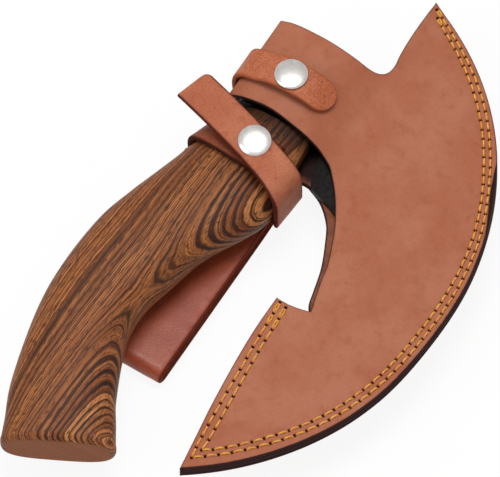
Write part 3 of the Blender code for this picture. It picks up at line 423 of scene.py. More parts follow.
def crescent_reach(turn, inset=0.0):
    """Distance of the wavy sewn edge from the crescent's centre, moved in by an inset."""
    return CRESCENT_RADIUS - inset + EDGE_WAVE * read_curve(WAVE, degrees(turn))


def crescent_edge(start, end, inset, step, setback=NO_SETBACK):
    """Wavy edge between two turns with points about a step apart."""
    count = max(2, ceil(abs(end - start) * (CRESCENT_RADIUS - inset) / step))
    points = []
    for index in range(count + 1):
        turn = start + (end - start) * index / count
        reach = crescent_reach(turn, inset) - read_curve(setback, degrees(turn))
        points.append((CRESCENT[0] + reach * cos(turn), CRESCENT[1] + reach * sin(turn)))
    return points


def crescent_turn(point):
    return atan2(point[1] - CRESCENT[1], point[0] - CRESCENT[0])


def centre_distance(x, y):
    return hypot(x - CRESCENT[0], y - CRESCENT[1])


# Shapes


class Shape:
    """Points in the blade's frame with values of their own, and the faces over them."""

    def __init__(self, *keys):
        self.points = []
        self.faces = []
        self.values = {key: [] for key in keys}

    def add(self, points, **values):
        """Adds points, with one value for all or a list of them, and returns their numbers."""
        start = len(self.points)
        self.points += points
        for key, value in values.items():
            self.values[key] += value if isinstance(value, list) else [value] * len(points)
        return list(range(start, len(self.points)))

    def skin(self, loops):
        """Faces from each closed loop to the next."""
        for row, following in zip(loops, loops[1:]):
            for i in range(len(row)):
                j = (i + 1) % len(row)
                self.faces.append((row[i], row[j], following[j], following[i]))

    def tube(self, loops):
        """Faces along the loops and over both ends."""
        self.skin(loops)
        self.faces += [tuple(loops[0]), tuple(loops[-1])]

    def build(self, name, material, body, replaces=()):
        """Mesh piece, with each point's place kept for the materials."""
        mesh = bpy.data.meshes.new(name)
        mesh.from_pydata([place(point) for point in self.points], [], self.faces)
        rest = mesh.attributes.new("rest", "FLOAT_VECTOR", "POINT")
        rest.data.foreach_set("vector", [c for point in self.points for c in point])
        for key, numbers in self.values.items():
            layer = mesh.attributes.new(key, "FLOAT", "POINT")
            layer.data.foreach_set("value", numbers)
        mesh.materials.append(material)
        work = bmesh.new()
        work.from_mesh(mesh)
        bmesh.ops.recalc_face_normals(work, faces=work.faces)
        work.to_mesh(mesh)
        work.free()
        mesh.shade_smooth()
        piece = bpy.data.objects.new(name, mesh)
        bpy.context.scene.collection.objects.link(piece)
        if replaces:
            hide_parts(*replaces)
        if body:
            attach(piece, body)
        return piece


# Materials


def new_material(name):
    material = bpy.data.materials.new(name)
    material.use_nodes = True
    return material, material.node_tree, material.node_tree.nodes["Principled BSDF"]


def fill(node, **sockets):
    """Sets a node's inputs by name, or by number as in i0: a socket is linked, and a value is set."""
    for key, value in sockets.items():
        socket = node.inputs[int(key[1:])] if key[1:].isdigit() else node.inputs[key.replace("_", " ")]
        if isinstance(value, bpy.types.NodeSocket):
            node.id_data.links.new(value, socket)
        else:
            socket.default_value = value
    return node


def add_node(tree, kind, settings=None, **sockets):
    node = tree.nodes.new("ShaderNode" + kind)
    for key, value in (settings or {}).items():
        setattr(node, key, value)
    return fill(node, **sockets)


def attribute(tree, name, output="Fac"):
    return add_node(tree, "Attribute", {"attribute_name": name}).outputs[output]


def maths(tree, operation, a, b=0.0):
    return add_node(tree, "Math", {"operation": operation}, i0=a, i1=b).outputs[0]


def swayed(tree, value, sway, size):
    """A value moved to and fro by another that lies about a half."""
    return maths(tree, "ADD", value, maths(tree, "MULTIPLY", maths(tree, "SUBTRACT", sway, 0.5), size))


def stretched(tree, vector, scale):
    return add_node(tree, "Mapping", Vector=vector, Scale=scale).outputs[0]


def noise_value(tree, vector, scale, detail=3.0, roughness=0.5, distortion=0.0):
    """Noise of one scale, or stretched by three."""
    if isinstance(scale, tuple):
        vector = stretched(tree, vector, scale)
        scale = 1.0
    return add_node(tree, "TexNoise", Vector=vector, Scale=scale, Detail=detail, Roughness=roughness,
                    Distortion=distortion).outputs["Fac"]


def band(tree, value, low, high, start=0.0, end=1.0):
    """Smooth step of a value between two bounds."""
    return add_node(tree, "MapRange", {"interpolation_type": "SMOOTHSTEP"}, Value=value, From_Min=low,
                    From_Max=high, To_Min=start, To_Max=end).outputs["Result"]


def mixed(tree, share, a, b):
    """Colour a turning into b by a share."""
    a, b = (value if isinstance(value, bpy.types.NodeSocket) else (*value, 1.0) for value in (a, b))
    return add_node(tree, "Mix", {"data_type": "RGBA", "clamp_factor": True}, i0=share, i6=a, i7=b).outputs[2]


def tinted(tree, colour, layers):
    """Colour under layers of a value, the bounds of its smooth step, the shares at them, and a tone."""
    for value, low, high, start, end, tone in layers:
        colour = mixed(tree, band(tree, value, low, high, start, end), colour, tone)
    return colour


def add_bump(tree, shader, height, distance):
    bump = add_node(tree, "Bump", Height=height, Distance=distance * MM, Strength=1.0)
    fill(shader, Normal=bump.outputs[0])


def leather_material(name, tones, grain, relief, roughness, specular):
    """Leather: mottled tone, fine pores, faint scratches, dark burnished edges, and painted shade on the flesh
    side and in the stitch holes.
    """
    pale, base, deep, dyed = (srgb(*tone) for tone in tones)
    material, tree, shader = new_material(name)
    rest = attribute(tree, "rest", "Vector")
    cloud = noise_value(tree, rest, 0.045, 4.0, 0.55)
    mottle = noise_value(tree, rest, 0.22, 5.0, 0.65)
    fine = noise_value(tree, rest, 1.6, 3.0, 0.6)
    scratch = noise_value(tree, rest, (0.05, 1.1, 0.4), 4.0, 0.6, 0.6)
    specks = add_node(tree, "TexVoronoi", {"feature": "F1"}, Vector=rest, Scale=0.42).outputs["Distance"]
    edge = attribute(tree, "edge")
    edge_dye_and_shade = swayed(tree, edge, mottle, 0.3)
    speckle = relief * 3.0
    colour = tinted(tree, base, (
        (cloud, 0.36, 0.66, 0.0, 1.0, pale),
        (mottle, 0.5, 0.78, 0.0, 0.55, deep),
        (fine, 0.46, 0.68, 0.0, 0.22 + speckle, deep),
        (fine, 0.32, 0.48, speckle * 1.4, 0.0, pale),
        (scratch, 0.66, 0.74, 0.0, 0.16, pale),
        (specks, 0.05, 0.09, 0.35, 0.0, dyed),
        # the edge value carries the burnished edges' dye and the painted shade on the flesh side
        (edge_dye_and_shade, 0.25, 0.85, 0.0, 1.0, dyed),
        # painted shade inside the stitch holes
        (attribute(tree, "hole"), 0.15, 0.6, 0.0, 1.0, srgb(38, 10, 8))))
    rough = maths(tree, "ADD", band(tree, mottle, 0.3, 0.7, roughness - 0.06, roughness + 0.08),
                  maths(tree, "MULTIPLY", edge, 0.3))
    fill(shader, Base_Color=colour, Roughness=rough,
         Specular_IOR_Level=band(tree, edge, 0.2, 0.8, specular, 0.05))
    pores = add_node(tree, "TexVoronoi", {"feature": "SMOOTH_F1"}, Vector=rest, Scale=grain).outputs["Distance"]
    height = maths(tree, "ADD", maths(tree, "MULTIPLY", pores, 0.7), maths(tree, "MULTIPLY", fine, 0.5))
    add_bump(tree, shader, height, relief)
    return material


def thread_material():
    """Waxed yellow thread with its twist, the groove between its strands darkened with painted shade."""
    material, tree, shader = new_material("waxed_thread")
    shade = noise_value(tree, attribute(tree, "rest", "Vector"), 0.5, 2.0)
    colour = tinted(tree, srgb(214, 140, 44), (
        (shade, 0.3, 0.7, 0.0, 1.0, srgb(236, 174, 74)),
        # painted shade in the groove between the two strands
        (attribute(tree, "twist"), 0.0, 0.6, 0.55, 0.0, srgb(120, 66, 26))))
    fill(shader, Base_Color=colour, Roughness=0.55)
    return material


def layer_noise(tree, depth, scale, detail=2.0, roughness=0.5):
    """Tone that changes only from one growth layer to the next."""
    return add_node(tree, "TexNoise", {"noise_dimensions": "1D"}, W=depth, Scale=scale, Detail=detail,
                    Roughness=roughness).outputs[0]


def grain_depth(tree, spot, height):
    """Depth through the wood's growth layers, which lean over towards the butt."""
    layer = add_node(tree, "VectorMath", {"operation": "DOT_PRODUCT"}, i0=spot, i1=GRAIN_NORMAL)
    drop = maths(tree, "MAXIMUM", maths(tree, "SUBTRACT", GRAIN_BEND_Y, height), 0.0)
    depth = maths(tree, "ADD", layer.outputs["Value"], maths(tree, "MULTIPLY", drop, GRAIN_LEAN))
    depth = swayed(tree, depth, noise_value(tree, spot, (0.07, 0.02, 0.07), 2.0), 1.8)
    return swayed(tree, depth, noise_value(tree, spot, (0.5, 0.05, 0.5), 2.0), 0.45)


def dark_layers(tree, depth):
    """Share of dark wood: the broad dark layers at their depths, in two ramps."""
    shares = []
    for layers in (DARK_LAYERS[:8], DARK_LAYERS[8:]):
        low = layers[0][0] - LAYER_MARGIN
        high = layers[-1][0] + LAYER_MARGIN
        place_in = add_node(tree, "MapRange", Value=depth, From_Min=low, From_Max=high)
        ramp = add_node(tree, "ValToRGB", Fac=place_in.outputs["Result"])
        stops = ramp.color_ramp.elements
        stops[0].color = (0.0, 0.0, 0.0, 1.0)
        stops[1].color = (0.0, 0.0, 0.0, 1.0)
        for middle, half, strength in layers:
            for spot, share in ((middle - half, 0.0), (middle, strength), (middle + half, 0.0)):
                stops.new((spot - low) / (high - low)).color = (share, share, share, 1.0)
        shares.append(ramp.outputs["Color"])
    return band(tree, maths(tree, "MAXIMUM", *shares), 0.05, 0.75)


def wood_material(name, object_space=False):
    """Open-grained board: growth layers tilted across the handle, dark layers, fine lines and pores, and a
    painted shadow towards the head.
    """
    material, tree, shader = new_material(name)
    if object_space:
        spot = stretched(tree, add_node(tree, "TexCoord").outputs["Object"], (1 / MM, 1 / MM, 1 / MM))
    else:
        spot = attribute(tree, "rest", "Vector")
    height = add_node(tree, "SeparateXYZ", i0=spot).outputs["Y"]
    depth = grain_depth(tree, spot, height)
    lines = layer_noise(tree, depth, 0.95, 2.0, 0.6)
    patch = noise_value(tree, spot, (0.05, 0.022, 0.05), 2.0)
    streak = noise_value(tree, spot, (1.7, 0.06, 1.7), 3.0, 0.6)
    pores = noise_value(tree, spot, (2.4, 0.22, 2.4), 2.0, 0.5)
    colour = tinted(tree, srgb(152, 86, 46), (
        (layer_noise(tree, depth, 0.22), 0.32, 0.68, 0.0, 1.0, srgb(196, 126, 72)),
        (patch, 0.38, 0.66, 0.0, 0.4, srgb(146, 76, 44)),
        (lines, 0.36, 0.54, 0.72, 0.0, srgb(90, 50, 31)),
        (lines, 0.58, 0.70, 0.0, 0.6, srgb(208, 146, 90)),
        (layer_noise(tree, depth, 2.3, 1.0, 0.6), 0.38, 0.50, 0.85, 0.0, srgb(68, 37, 24))))
    dark = maths(tree, "MULTIPLY", dark_layers(tree, depth), band(tree, patch, 0.3, 0.62, 1.0, 0.7))
    colour = tinted(tree, mixed(tree, dark, colour, srgb(34, 22, 20)), (
        (streak, 0.42, 0.66, 0.0, 0.35, srgb(104, 58, 38)),
        (pores, 0.53, 0.63, 0.0, 0.75, srgb(56, 32, 25)),
        # painted shadow of the sheath's mouth on the wood towards the head
        (height, *NECK_SHADOW_Y, 0.0, 0.75, srgb(26, 19, 17))))
    butt = maths(tree, "MULTIPLY", attribute(tree, "butt"), 0.85)
    fill(shader, Base_Color=mixed(tree, butt, colour, srgb(137, 76, 38)),
         Roughness=band(tree, streak, 0.3, 0.7, 0.42, 0.58), Specular_IOR_Level=0.15)
    add_bump(tree, shader, maths(tree, "MULTIPLY", pores, -1.0), 0.10)
    return material


def metal_material(name, colour, roughness, scale, relief):
    """Metal with a slightly uneven finish."""
    material, tree, shader = new_material(name)
    uneven = noise_value(tree, add_node(tree, "TexCoord").outputs["Object"], scale / MM)
    tone = mixed(tree, band(tree, uneven, 0.3, 0.7), colour, tuple(c * 0.85 for c in colour))
    fill(shader, Base_Color=tone, Metallic=1.0,
         Roughness=band(tree, uneven, 0.3, 0.7, roughness * 0.85, roughness * 1.15))
    add_bump(tree, shader, uneven, relief)
    return material


# Tones: pale, base, deep and cut edge; then pores to a millimetre, relief, roughness, specular
SHEATH_LEATHER = leather_material(
    "sheath_leather", ((176, 110, 82), (168, 97, 68), (150, 82, 57), (58, 39, 38)), 2.2, 0.03, 0.58, 0.2)
POLL_LEATHER = leather_material(
    "poll_strap_leather", ((192, 112, 76), (176, 94, 58), (140, 62, 36), (166, 92, 60)), 1.25, 0.2, 0.55, 0.3)
STRAP_LEATHER = leather_material(
    "strap_leather", ((188, 117, 86), (176, 101, 72), (146, 70, 46), (88, 40, 30)), 1.6, 0.07, 0.55, 0.14)
# Painted shade: a darker copy of the strap leather for the wrap that lies in shade under the flap
SHADED_UNDER_LEATHER = leather_material(
    "shaded_under_strap_leather", ((140, 76, 51), (128, 66, 43), (102, 49, 32), (66, 32, 24)), 1.6, 0.07, 0.55, 0.14)
LOOP_LEATHER = leather_material(
    "loop_leather", ((170, 82, 52), (152, 66, 38), (116, 44, 26), (106, 44, 26)), 1.8, 0.06, 0.36, 0.45)
THREAD = thread_material()
WOOD = wood_material("oiled_wood")
WEDGE_WOOD = wood_material("wedge_wood", True)
STEEL = metal_material("dark_steel", srgb(30, 29, 28), 0.5, 0.6, 0.03)
NICKEL = metal_material("nickel", srgb(228, 224, 220), 0.2, 0.35, 0.004)


# Sheath


BULGE = smooth_curve(spread(BULGE_SHARES, EYE_X, EYE_REACH, PANEL_FLAT, PANEL_CROWN - PANEL_FLAT), 12)


def panel_height(x):
    return read_curve(BULGE, x)


def panel_depth(x):
    """Thickness of the panel's leather along Z, which grows with its slope."""
    slope = (panel_height(x + SLOPE_STEP) - panel_height(x - SLOPE_STEP)) / (2 * SLOPE_STEP)
    return LEATHER * sqrt(1 + slope**2)


def side_edge(inset=0.0, steps=16):
    """Straight sewn edge from the step down, moved in by an inset, and its end on the crescent."""
    radius = CRESCENT_RADIUS - inset
    curve = smooth_curve(spread(SIDE_SHARES, STEP_X + inset, SIDE_LENGTH, STEP_Y, -SIDE_LENGTH), steps)
    points = [(x, y) for x, y in curve if centre_distance(x, y) < radius - inset]
    (x0, y0), (x1, y1) = points[-steps], points[-1]
    slope = (x1 - x0) / (y1 - y0)
    reach = y1
    while centre_distance(x1 + slope * (reach - y1), reach) < radius:
        reach -= GAP / 4
    return points, (x1 + slope * (reach - y1), reach)


SIDE, TOE = side_edge()
SIDE_LINE = [(y, x) for x, y in reversed(SIDE + [TOE])]
HORN_TURN = crescent_turn((HORN_X, HORN_TIP_Y))
TOE_TURN = crescent_turn(TOE)


def panel_outline(mouth_shares, setback):
    """Top edge, horn, crescent, straight edge, step and mouth."""
    top_width = HORN_X - POLL_EDGE_X
    top_edge = smooth_curve(spread(TOP_EDGE_SHARES, POLL_EDGE_X, top_width, SHEATH_TOP_Y, HORN_HEIGHT), 8)
    horn = smooth_curve(spread(HORN_SHARES, HORN_X, HORN_HEIGHT, SHEATH_TOP_Y, HORN_HEIGHT), 8)
    edge = crescent_edge(HORN_TURN, TOE_TURN, 0.0, EDGE_STEP, setback)
    mouth = smooth_curve(spread(mouth_shares, POLL_EDGE_X, MOUTH_SPAN, MOUTH_TOP_Y, -MOUTH_DROP), 8)
    (x0, y0), (x1, y1) = SIDE[0], mouth[-1]
    step = [(x0 + (x1 - x0) * share, y0 + (y1 - y0) * share - STEP_SAG * sin(pi * share))
            for share in STEP_SPOTS]
    return top_edge + horn + edge + SIDE[::-1] + step + mouth[::-1]


def welt_outline():
    """Sewn edges, then the band's inner ones."""
    inner_side, inner_toe = side_edge(WELT_WIDTH)
    inner_x = HORN_X + GAP
    horn_inner = (inner_x, CRESCENT[1] + circle_reach(CRESCENT_RADIUS - WELT_WIDTH, inner_x))
    outer = crescent_edge(HORN_TURN, TOE_TURN, 0.0, EDGE_STEP)
    inner = crescent_edge(crescent_turn(inner_toe), crescent_turn(horn_inner), WELT_WIDTH, EDGE_STEP)
    return outer + SIDE[::-1] + inner_side + inner


def row_path(crescent, side):
    """Sewing line: down the crescent, round the toe and up the straight edge."""
    curve = crescent_edge(radians(crescent[-1][0]), radians(crescent[0][0]), 0.0, EDGE_STEP, crescent)
    low = curve[-1][1]
    rise = side[-1][0] - low
    steps = ceil(rise / EDGE_STEP)
    heights = [low + rise * step / steps for step in range(1, steps + 1)]
    return curve + [(read_curve(SIDE_LINE, y) + read_curve(side, y), y) for y in heights]


def row_holes(row):
    """Stitch holes along a row, their pitch widening from the horn to the step."""
    line = resample(row_path(*row), HOLE_SEARCH)
    count = len(line) - 1
    marks = [0.0]
    for index in range(count):
        marks.append(marks[-1] + HOLE_SEARCH / read_curve(STITCH_PITCH, index / count))
    stitches = round(marks[-1])
    holes = []
    for number in range(stitches + 1):
        wanted = marks[-1] * number / stitches
        holes.append(line[min(range(count + 1), key=lambda i: abs(marks[i] - wanted))])
    return holes


ROWS = [row_holes(OUTER_ROW), row_holes(INNER_ROW)]


def edge_distances(x, y):
    """Distance inside the crescent's edge and inside the straight one."""
    crescent = crescent_reach(crescent_turn((x, y))) - centre_distance(x, y)
    straight = x - read_curve(SIDE_LINE, y) if y < STEP_Y else CRESCENT_RADIUS
    return crescent, straight


def face_relief(x, y, seed):
    """Unevenness of a panel's face and the line pressed in along each row of sewing."""
    relief = sum(height * unevenness(x, y, size, seed + shift) for height, size, shift in RELIEF_WAVES)
    crescent, straight = edge_distances(x, y)
    if min(crescent, straight) > BAND_DEPTH:
        return relief
    turn = degrees(crescent_turn((x, y)))
    for row in (OUTER_ROW, INNER_ROW):
        away = min(crescent - read_curve(row[0], turn), straight - read_curve(row[1], y))
        relief -= GROOVE_DEPTH * np.exp(-((away / GROOVE_WIDTH) ** 2))
    return relief


def inset_ring(ring, inset):
    """Closed line moved inwards by an inset, whichever way it runs."""
    area = sum(a.x * b.y - b.x * a.y for a, b in zip(ring, ring[1:] + ring[:1]))
    moved = []
    for before, point, after in zip(ring[-1:] + ring[:-1], ring, ring[1:] + ring[:1]):
        along = (after - before).normalized()
        moved.append(point + Vector((-along.y, along.x)) * copysign(inset, area))
    return moved


def inside_mask(points, ring):
    """True for each point inside a closed line."""
    x, y = points.T
    inside = np.zeros(len(points), dtype=bool)
    for a, b in zip(ring, ring[1:] + ring[:1]):
        with np.errstate(divide="ignore", invalid="ignore"):
            reach = (b.x - a.x) * (y - a.y) / (b.y - a.y) + a.x
        inside ^= ((a.y > y) != (b.y > y)) & (x < reach)
    return inside


def tree_of(points):
    tree = KDTree(len(points))
    for index, point in enumerate(points):
        tree.insert((point[0], point[1], 0.0), index)
    tree.balance()
    return tree


def field_points(ring, step, band_step, holes):
    """Points inside a ring: fine rows along the sewn edges and coarse ones elsewhere, clear of the holes."""
    points = []
    for number in range(2, round(BAND_DEPTH / band_step) if band_step else 0):
        side, toe = side_edge(number * band_step)
        points += crescent_edge(HORN_TURN, TOE_TURN, number * band_step, band_step)
        points += [tuple(point) for point in resample(side + [toe], band_step)]
    low_x, low_y = (min(point[axis] for point in ring) for axis in (0, 1))
    high_x, high_y = (max(point[axis] for point in ring) for axis in (0, 1))
    for row in range(int((high_y - low_y) / step)):
        y = low_y + (row + 0.5) * step
        for column in range(int((high_x - low_x) / step)):
            x = low_x + (column + 0.5 + 0.25 * (row % 2)) * step
            if not band_step or min(edge_distances(x, y)) > BAND_DEPTH:
                points.append((x, y))
    border = tree_of(ring)
    pits = tree_of(holes) if holes else None
    least = (band_step or step) * BORDER_SHARE
    kept = []
    for point, inside in zip(points, inside_mask(np.array(points), ring)):
        spot = (*point, 0.0)
        if inside and border.find(spot)[2] >= least and not (pits and pits.find(spot)[2] < HOLE_CLEAR):
            kept.append(point)
    return kept


def thinned(points, least):
    """Points with no two closer than a distance."""
    cells = {}
    kept = []
    for x, y in points:
        column, row = int(x // least), int(y // least)
        near = [cells.get((column + i, row + j)) for i in (-1, 0, 1) for j in (-1, 0, 1)]
        if not any(other and hypot(other[0] - x, other[1] - y) < least for other in near):
            cells[column, row] = (x, y)
            kept.append((x, y))
    return kept


def triangulated(ring, inner):
    """Triangles over a closed line and the points inside it; the given points come first."""
    points = [Vector(point) for point in [*ring, *inner]]
    verts, _, faces, origins, _, _ = delaunay_2d_cdt(list(points), [], [list(range(len(ring)))], 1, 1e-5)
    numbers = []
    for vert, origin in zip(verts, origins):
        if origin:
            numbers.append(min(origin))
            points[numbers[-1]] = vert
        else:
            numbers.append(len(points))
            points.append(vert)
    return points, [tuple(numbers[v] for v in face) for face in faces]


def add_pits(inner, holes):
    """Adds rings of points round each hole, and gives their depths and radii by number."""
    depths = {}
    for hole in holes:
        for radius, depth, count in HOLE_RINGS:
            for number in range(count):
                turn = 2 * pi * number / count
                depths[len(inner)] = (depth, radius)
                inner.append((hole.x + radius * cos(turn), hole.y + radius * sin(turn)))
    return depths


def leather_layer(name, outline, upper, lower, holes, seed, band_step, node, dye=FACE_DYE):
    """One layer of leather: dressed face, rounded cut edge all round and flesh side darkened with painted
    shade.
    upper and lower give the two faces' heights at a place, the dressed one first; dye is how dark
    the face is beside its edge, and the two distances between which that fades."""
    ring = sharp_ring(outline, EDGE_STEP)
    border = tree_of(ring)
    side = 1.0 if upper(0.0, 0.0) > lower(0.0, 0.0) else -1.0
    top_ring = inset_ring(ring, TOP_RIM[0][0])
    inner = field_points(top_ring, FIELD_STEP, band_step, holes)
    inner = thinned(inner, (band_step or FIELD_STEP) * THIN_SHARE)
    depths = add_pits(inner, holes)
    flat, faces = triangulated(top_ring, inner)
    count = len(ring)
    shape = Shape("edge", "hole")
    shape.faces += faces
    for number, (x, y) in enumerate(flat):
        depth, radius = depths.get(number - count, (0.0, HOLE_CLEAR))
        height = upper(x, y) + side * (face_relief(x, y, seed) - depth)
        dark = dye[0] * (1.0 - smooth_step(dye[1], dye[2], border.find((x, y, 0.0))[2]))
        # the hole value paints shade inside each stitch hole
        shape.add([(x, y, height)], edge=dark, hole=1.0 - smooth_step(HOLE_SHADE_RADIUS, HOLE_RINGS[-1][0], radius))
    loops = [list(range(count))]
    rims = [(upper, -side, 1.0, rim) for rim in TOP_RIM[1:]] + [(lower, side, 0.0, rim) for rim in LOW_RIM]
    for face_height, sign, rough, (inset, depth, dark) in rims:
        points = [(x, y, face_height(x, y) + sign * depth + side * rough * face_relief(x, y, seed))
                  for x, y in inset_ring(ring, inset)]
        loops.append(shape.add(points, edge=dark, hole=0.0))
    shape.skin(loops)
    low_ring = inset_ring(ring, LOW_RIM[-1][0])
    low_flat, low_faces = triangulated(low_ring, field_points(low_ring, FIELD_STEP * 2, None, []))
    base = len(shape.points) - count
    for x, y in low_flat[count:]:
        # painted shade on the flesh side: darkest round the eye, and darker everywhere else
        eye_shade = 1.0 - smooth_step(*EYE_SHADE_REACH, hypot(x - EYE_X, y - SHEATH_TOP_Y / 2))
        shape.add([(x, y, lower(x, y))], edge=max(eye_shade, FLESH_SHADE), hole=0.0)
    shape.faces += [tuple(loops[-1][v] if v < count else base + v for v in face) for face in low_faces]
    shape.build(name, SHEATH_LEATHER, "sheathed_knife", (node,))


def make_sheath():
    holes = ROWS[0] + ROWS[1]
    for name, node, mouth, setback, side, seed in (
            ("sheath_front_leather", "sheath_front_panel", FRONT_MOUTH_SHARES, SETBACK, 1, FRONT_SEED),
            ("sheath_back_leather", "sheath_back_panel", BACK_MOUTH_SHARES, NO_SETBACK, -1, BACK_SEED)):
        leather_layer(name, panel_outline(mouth, setback), lambda x, y, s=side: s * panel_height(x),
                      lambda x, y, s=side: s * (panel_height(x) - panel_depth(x)), holes, seed, BAND_STEP, node)
    half = WELT_THICKNESS / 2 + GAP - WELT_CLEAR
    leather_layer("sheath_welt_leather", welt_outline(), lambda x, y: half, lambda x, y: -half, [], 0.0, None,
                  "sheath_welt", WELT_DYE)


# Sewing


def add_thread(shape, path, radius):
    """Adds a closed tube along a path, with two strands' twist in its shape and their lay kept for the painted
    shade in the groove between them.
    """
    last = len(path) - 1
    loops = []
    for index, centre in enumerate(path):
        along = (path[min(index + 1, last)] - path[max(index - 1, 0)]).normalized()
        across = along.cross(Vector((0.0, 0.0, 1.0)))
        across = across.normalized() if across.length > 1e-4 else Vector((1.0, 0.0, 0.0))
        up = across.cross(along)
        turns = [2 * pi * side / THREAD_SIDES for side in range(THREAD_SIDES)]
        lays = [abs(sin(turn - index / last * THREAD_TWIST)) for turn in turns]
        ring = []
        for turn, lay in zip(turns, lays):
            size = radius * (THREAD_LAY[0] + THREAD_LAY[1] * lay)
            ring.append(centre + across * (size * cos(turn)) + up * (size * sin(turn)))
        loops.append(shape.add(ring, twist=lays))
    shape.tube(loops)


def stitch_path(a, b, side, shift):
    """Thread from one hole to the next, arched over the leather's face."""
    along = b - a
    across = Vector((-along.y, along.x)).normalized()
    path = []
    for share, rise in STITCH_RISE:
        point = a.lerp(b, share) + across * (shift * sin(pi * share) + STITCH_SLANT * (1.0 - 2.0 * share))
        relief = face_relief(point.x, point.y, FRONT_SEED if side > 0 else BACK_SEED)
        path.append(Vector((point.x, point.y, side * (panel_height(point.x) + relief + rise))))
    return path


def make_sewing():
    """Both rows of thread on both faces, doubled at the rows' ends."""
    for name, side in (("front_sewing", 1), ("back_sewing", -1)):
        shape = Shape("twist")
        for row in ROWS:
            last = len(row) - 2
            for index, (a, b) in enumerate(zip(row, row[1:])):
                doubled = index < DOUBLED_STITCHES[0] or index > last - DOUBLED_STITCHES[1]
                shifts = (-DOUBLED_SHIFT, DOUBLED_SHIFT) if doubled else (THREAD_SHIFT * (-1) ** index,)
                for shift in shifts:
                    add_thread(shape, stitch_path(a, b, side, shift), THREAD_DIAMETER / 2)
        shape.build(name, THREAD, "sheathed_knife")


# Straps


def strap_section(half_width, half_thickness):
    """Rounded section of a strap: across, up, and how near its cut edge."""
    corner = min(STRAP_CORNER, half_width * 0.5)
    inner = half_width - corner
    start, end = (half_width - reach for reach in STRAP_DYE)
    top = [(inner * s, half_thickness, 0.5 * smooth_step(start, end, inner * abs(s))) for s in FACE_SPOTS]
    right = [(inner + corner * 0.6, half_thickness - corner * 0.18, 0.8),
             (half_width, half_thickness - corner * 0.8, 1.0)]
    right += [(x, -z, e) for x, z, e in reversed(right)]
    return top + right + [(x, -z, e) for x, z, e in reversed(top)] + [(-x, -z, e) for x, z, e in right]


def strap_loft(name, pairs, material, body, replaces, seed):
    """Strap through edge pairs, with rounded edges and closed ends."""
    shape = Shape("edge")
    last = len(pairs) - 1
    middles = [(low + high) / 2 for low, high in pairs]
    loops = []
    for index, (low, high) in enumerate(pairs):
        middle = middles[index]
        along = (middles[min(index + 1, last)] - middles[max(index - 1, 0)]).normalized()
        across = (high - low).normalized()
        normal = along.cross(across).normalized()
        near_end = min(index, last - index, 2)
        section = strap_section((high - low).length / 2, LEATHER / 2 * STRAP_END_THIN[near_end])
        ring = []
        for x, z, _ in section:
            rough = STRAP_ROUGH * noise.noise((middle + across * x) / ROUGH_SIZE + Vector((seed, 0.0, 0.0)))
            ring.append(middle + across * x + normal * (z + (rough if z > 0 else -rough)))
        loops.append(shape.add(ring, edge=[1.0 if near_end < 2 else e for _, _, e in section]))
    shape.tube(loops)
    return shape.build(name, material, body, replaces)


def blend_flap(strap, body, middle, direction, before):
    """Bakes the strap's place into its mesh; the body, the crease's middle, the direction and the distance
    before it are not used.
    """
    direction = Vector(direction).normalized()
    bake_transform(strap)


def tip_width(distance, length):
    share = 1.0 - min(1.0, distance / length)
    return (1.0 - share**SECTION_POWER) ** (1 / SECTION_POWER)


def corner_cut(distance, radius):
    """How far a rounded corner stands back from its edge at a distance from the end."""
    return radius - sqrt(radius**2 - max(0.0, radius - distance) ** 2)


def poll_bend_point(turn):
    over = panel_height(POLL_BEND_X) + LEATHER / 2 + 3 * GAP
    under = PANEL_CROWN + GAP + LEATHER / 2
    x, z = rounded(turn, POLL_BEND_REACH, over if turn < 180 else under)
    return POLL_BEND_X + x, z


POLL_CREASE = poll_bend_point(POLL_CREASE_TURN)


def poll_flap_height(x):
    """Middle of the poll strap's flap, raised over the panel by the snap."""
    lift = SNAP_STACK + LEATHER / 2
    low = 2 * GAP + LEATHER / 2
    span = SNAP_1_X - POLL_CREASE[0] if x < SNAP_1_X else POLL_TIP_X - SNAP_1_X
    away = min(1.0, abs(x - SNAP_1_X) / span)
    flat = (SNAP_RING_DIAMETER + LEATHER) / 2 / span
    if away < flat:
        return PANEL_CROWN + lift
    return panel_height(x) + low + (lift - low) * cos(pi / 2 * (away - flat) / (1.0 - flat)) ** 2


def poll_flap_y(x):
    """Middle of the poll strap's flap along Y, drifting from its crease to its tip."""
    return POLL_STRAP_Y + POLL_FLAP_RISE * max(0.0, (x - POLL_CREASE[0]) / (POLL_TIP_X - POLL_CREASE[0]))


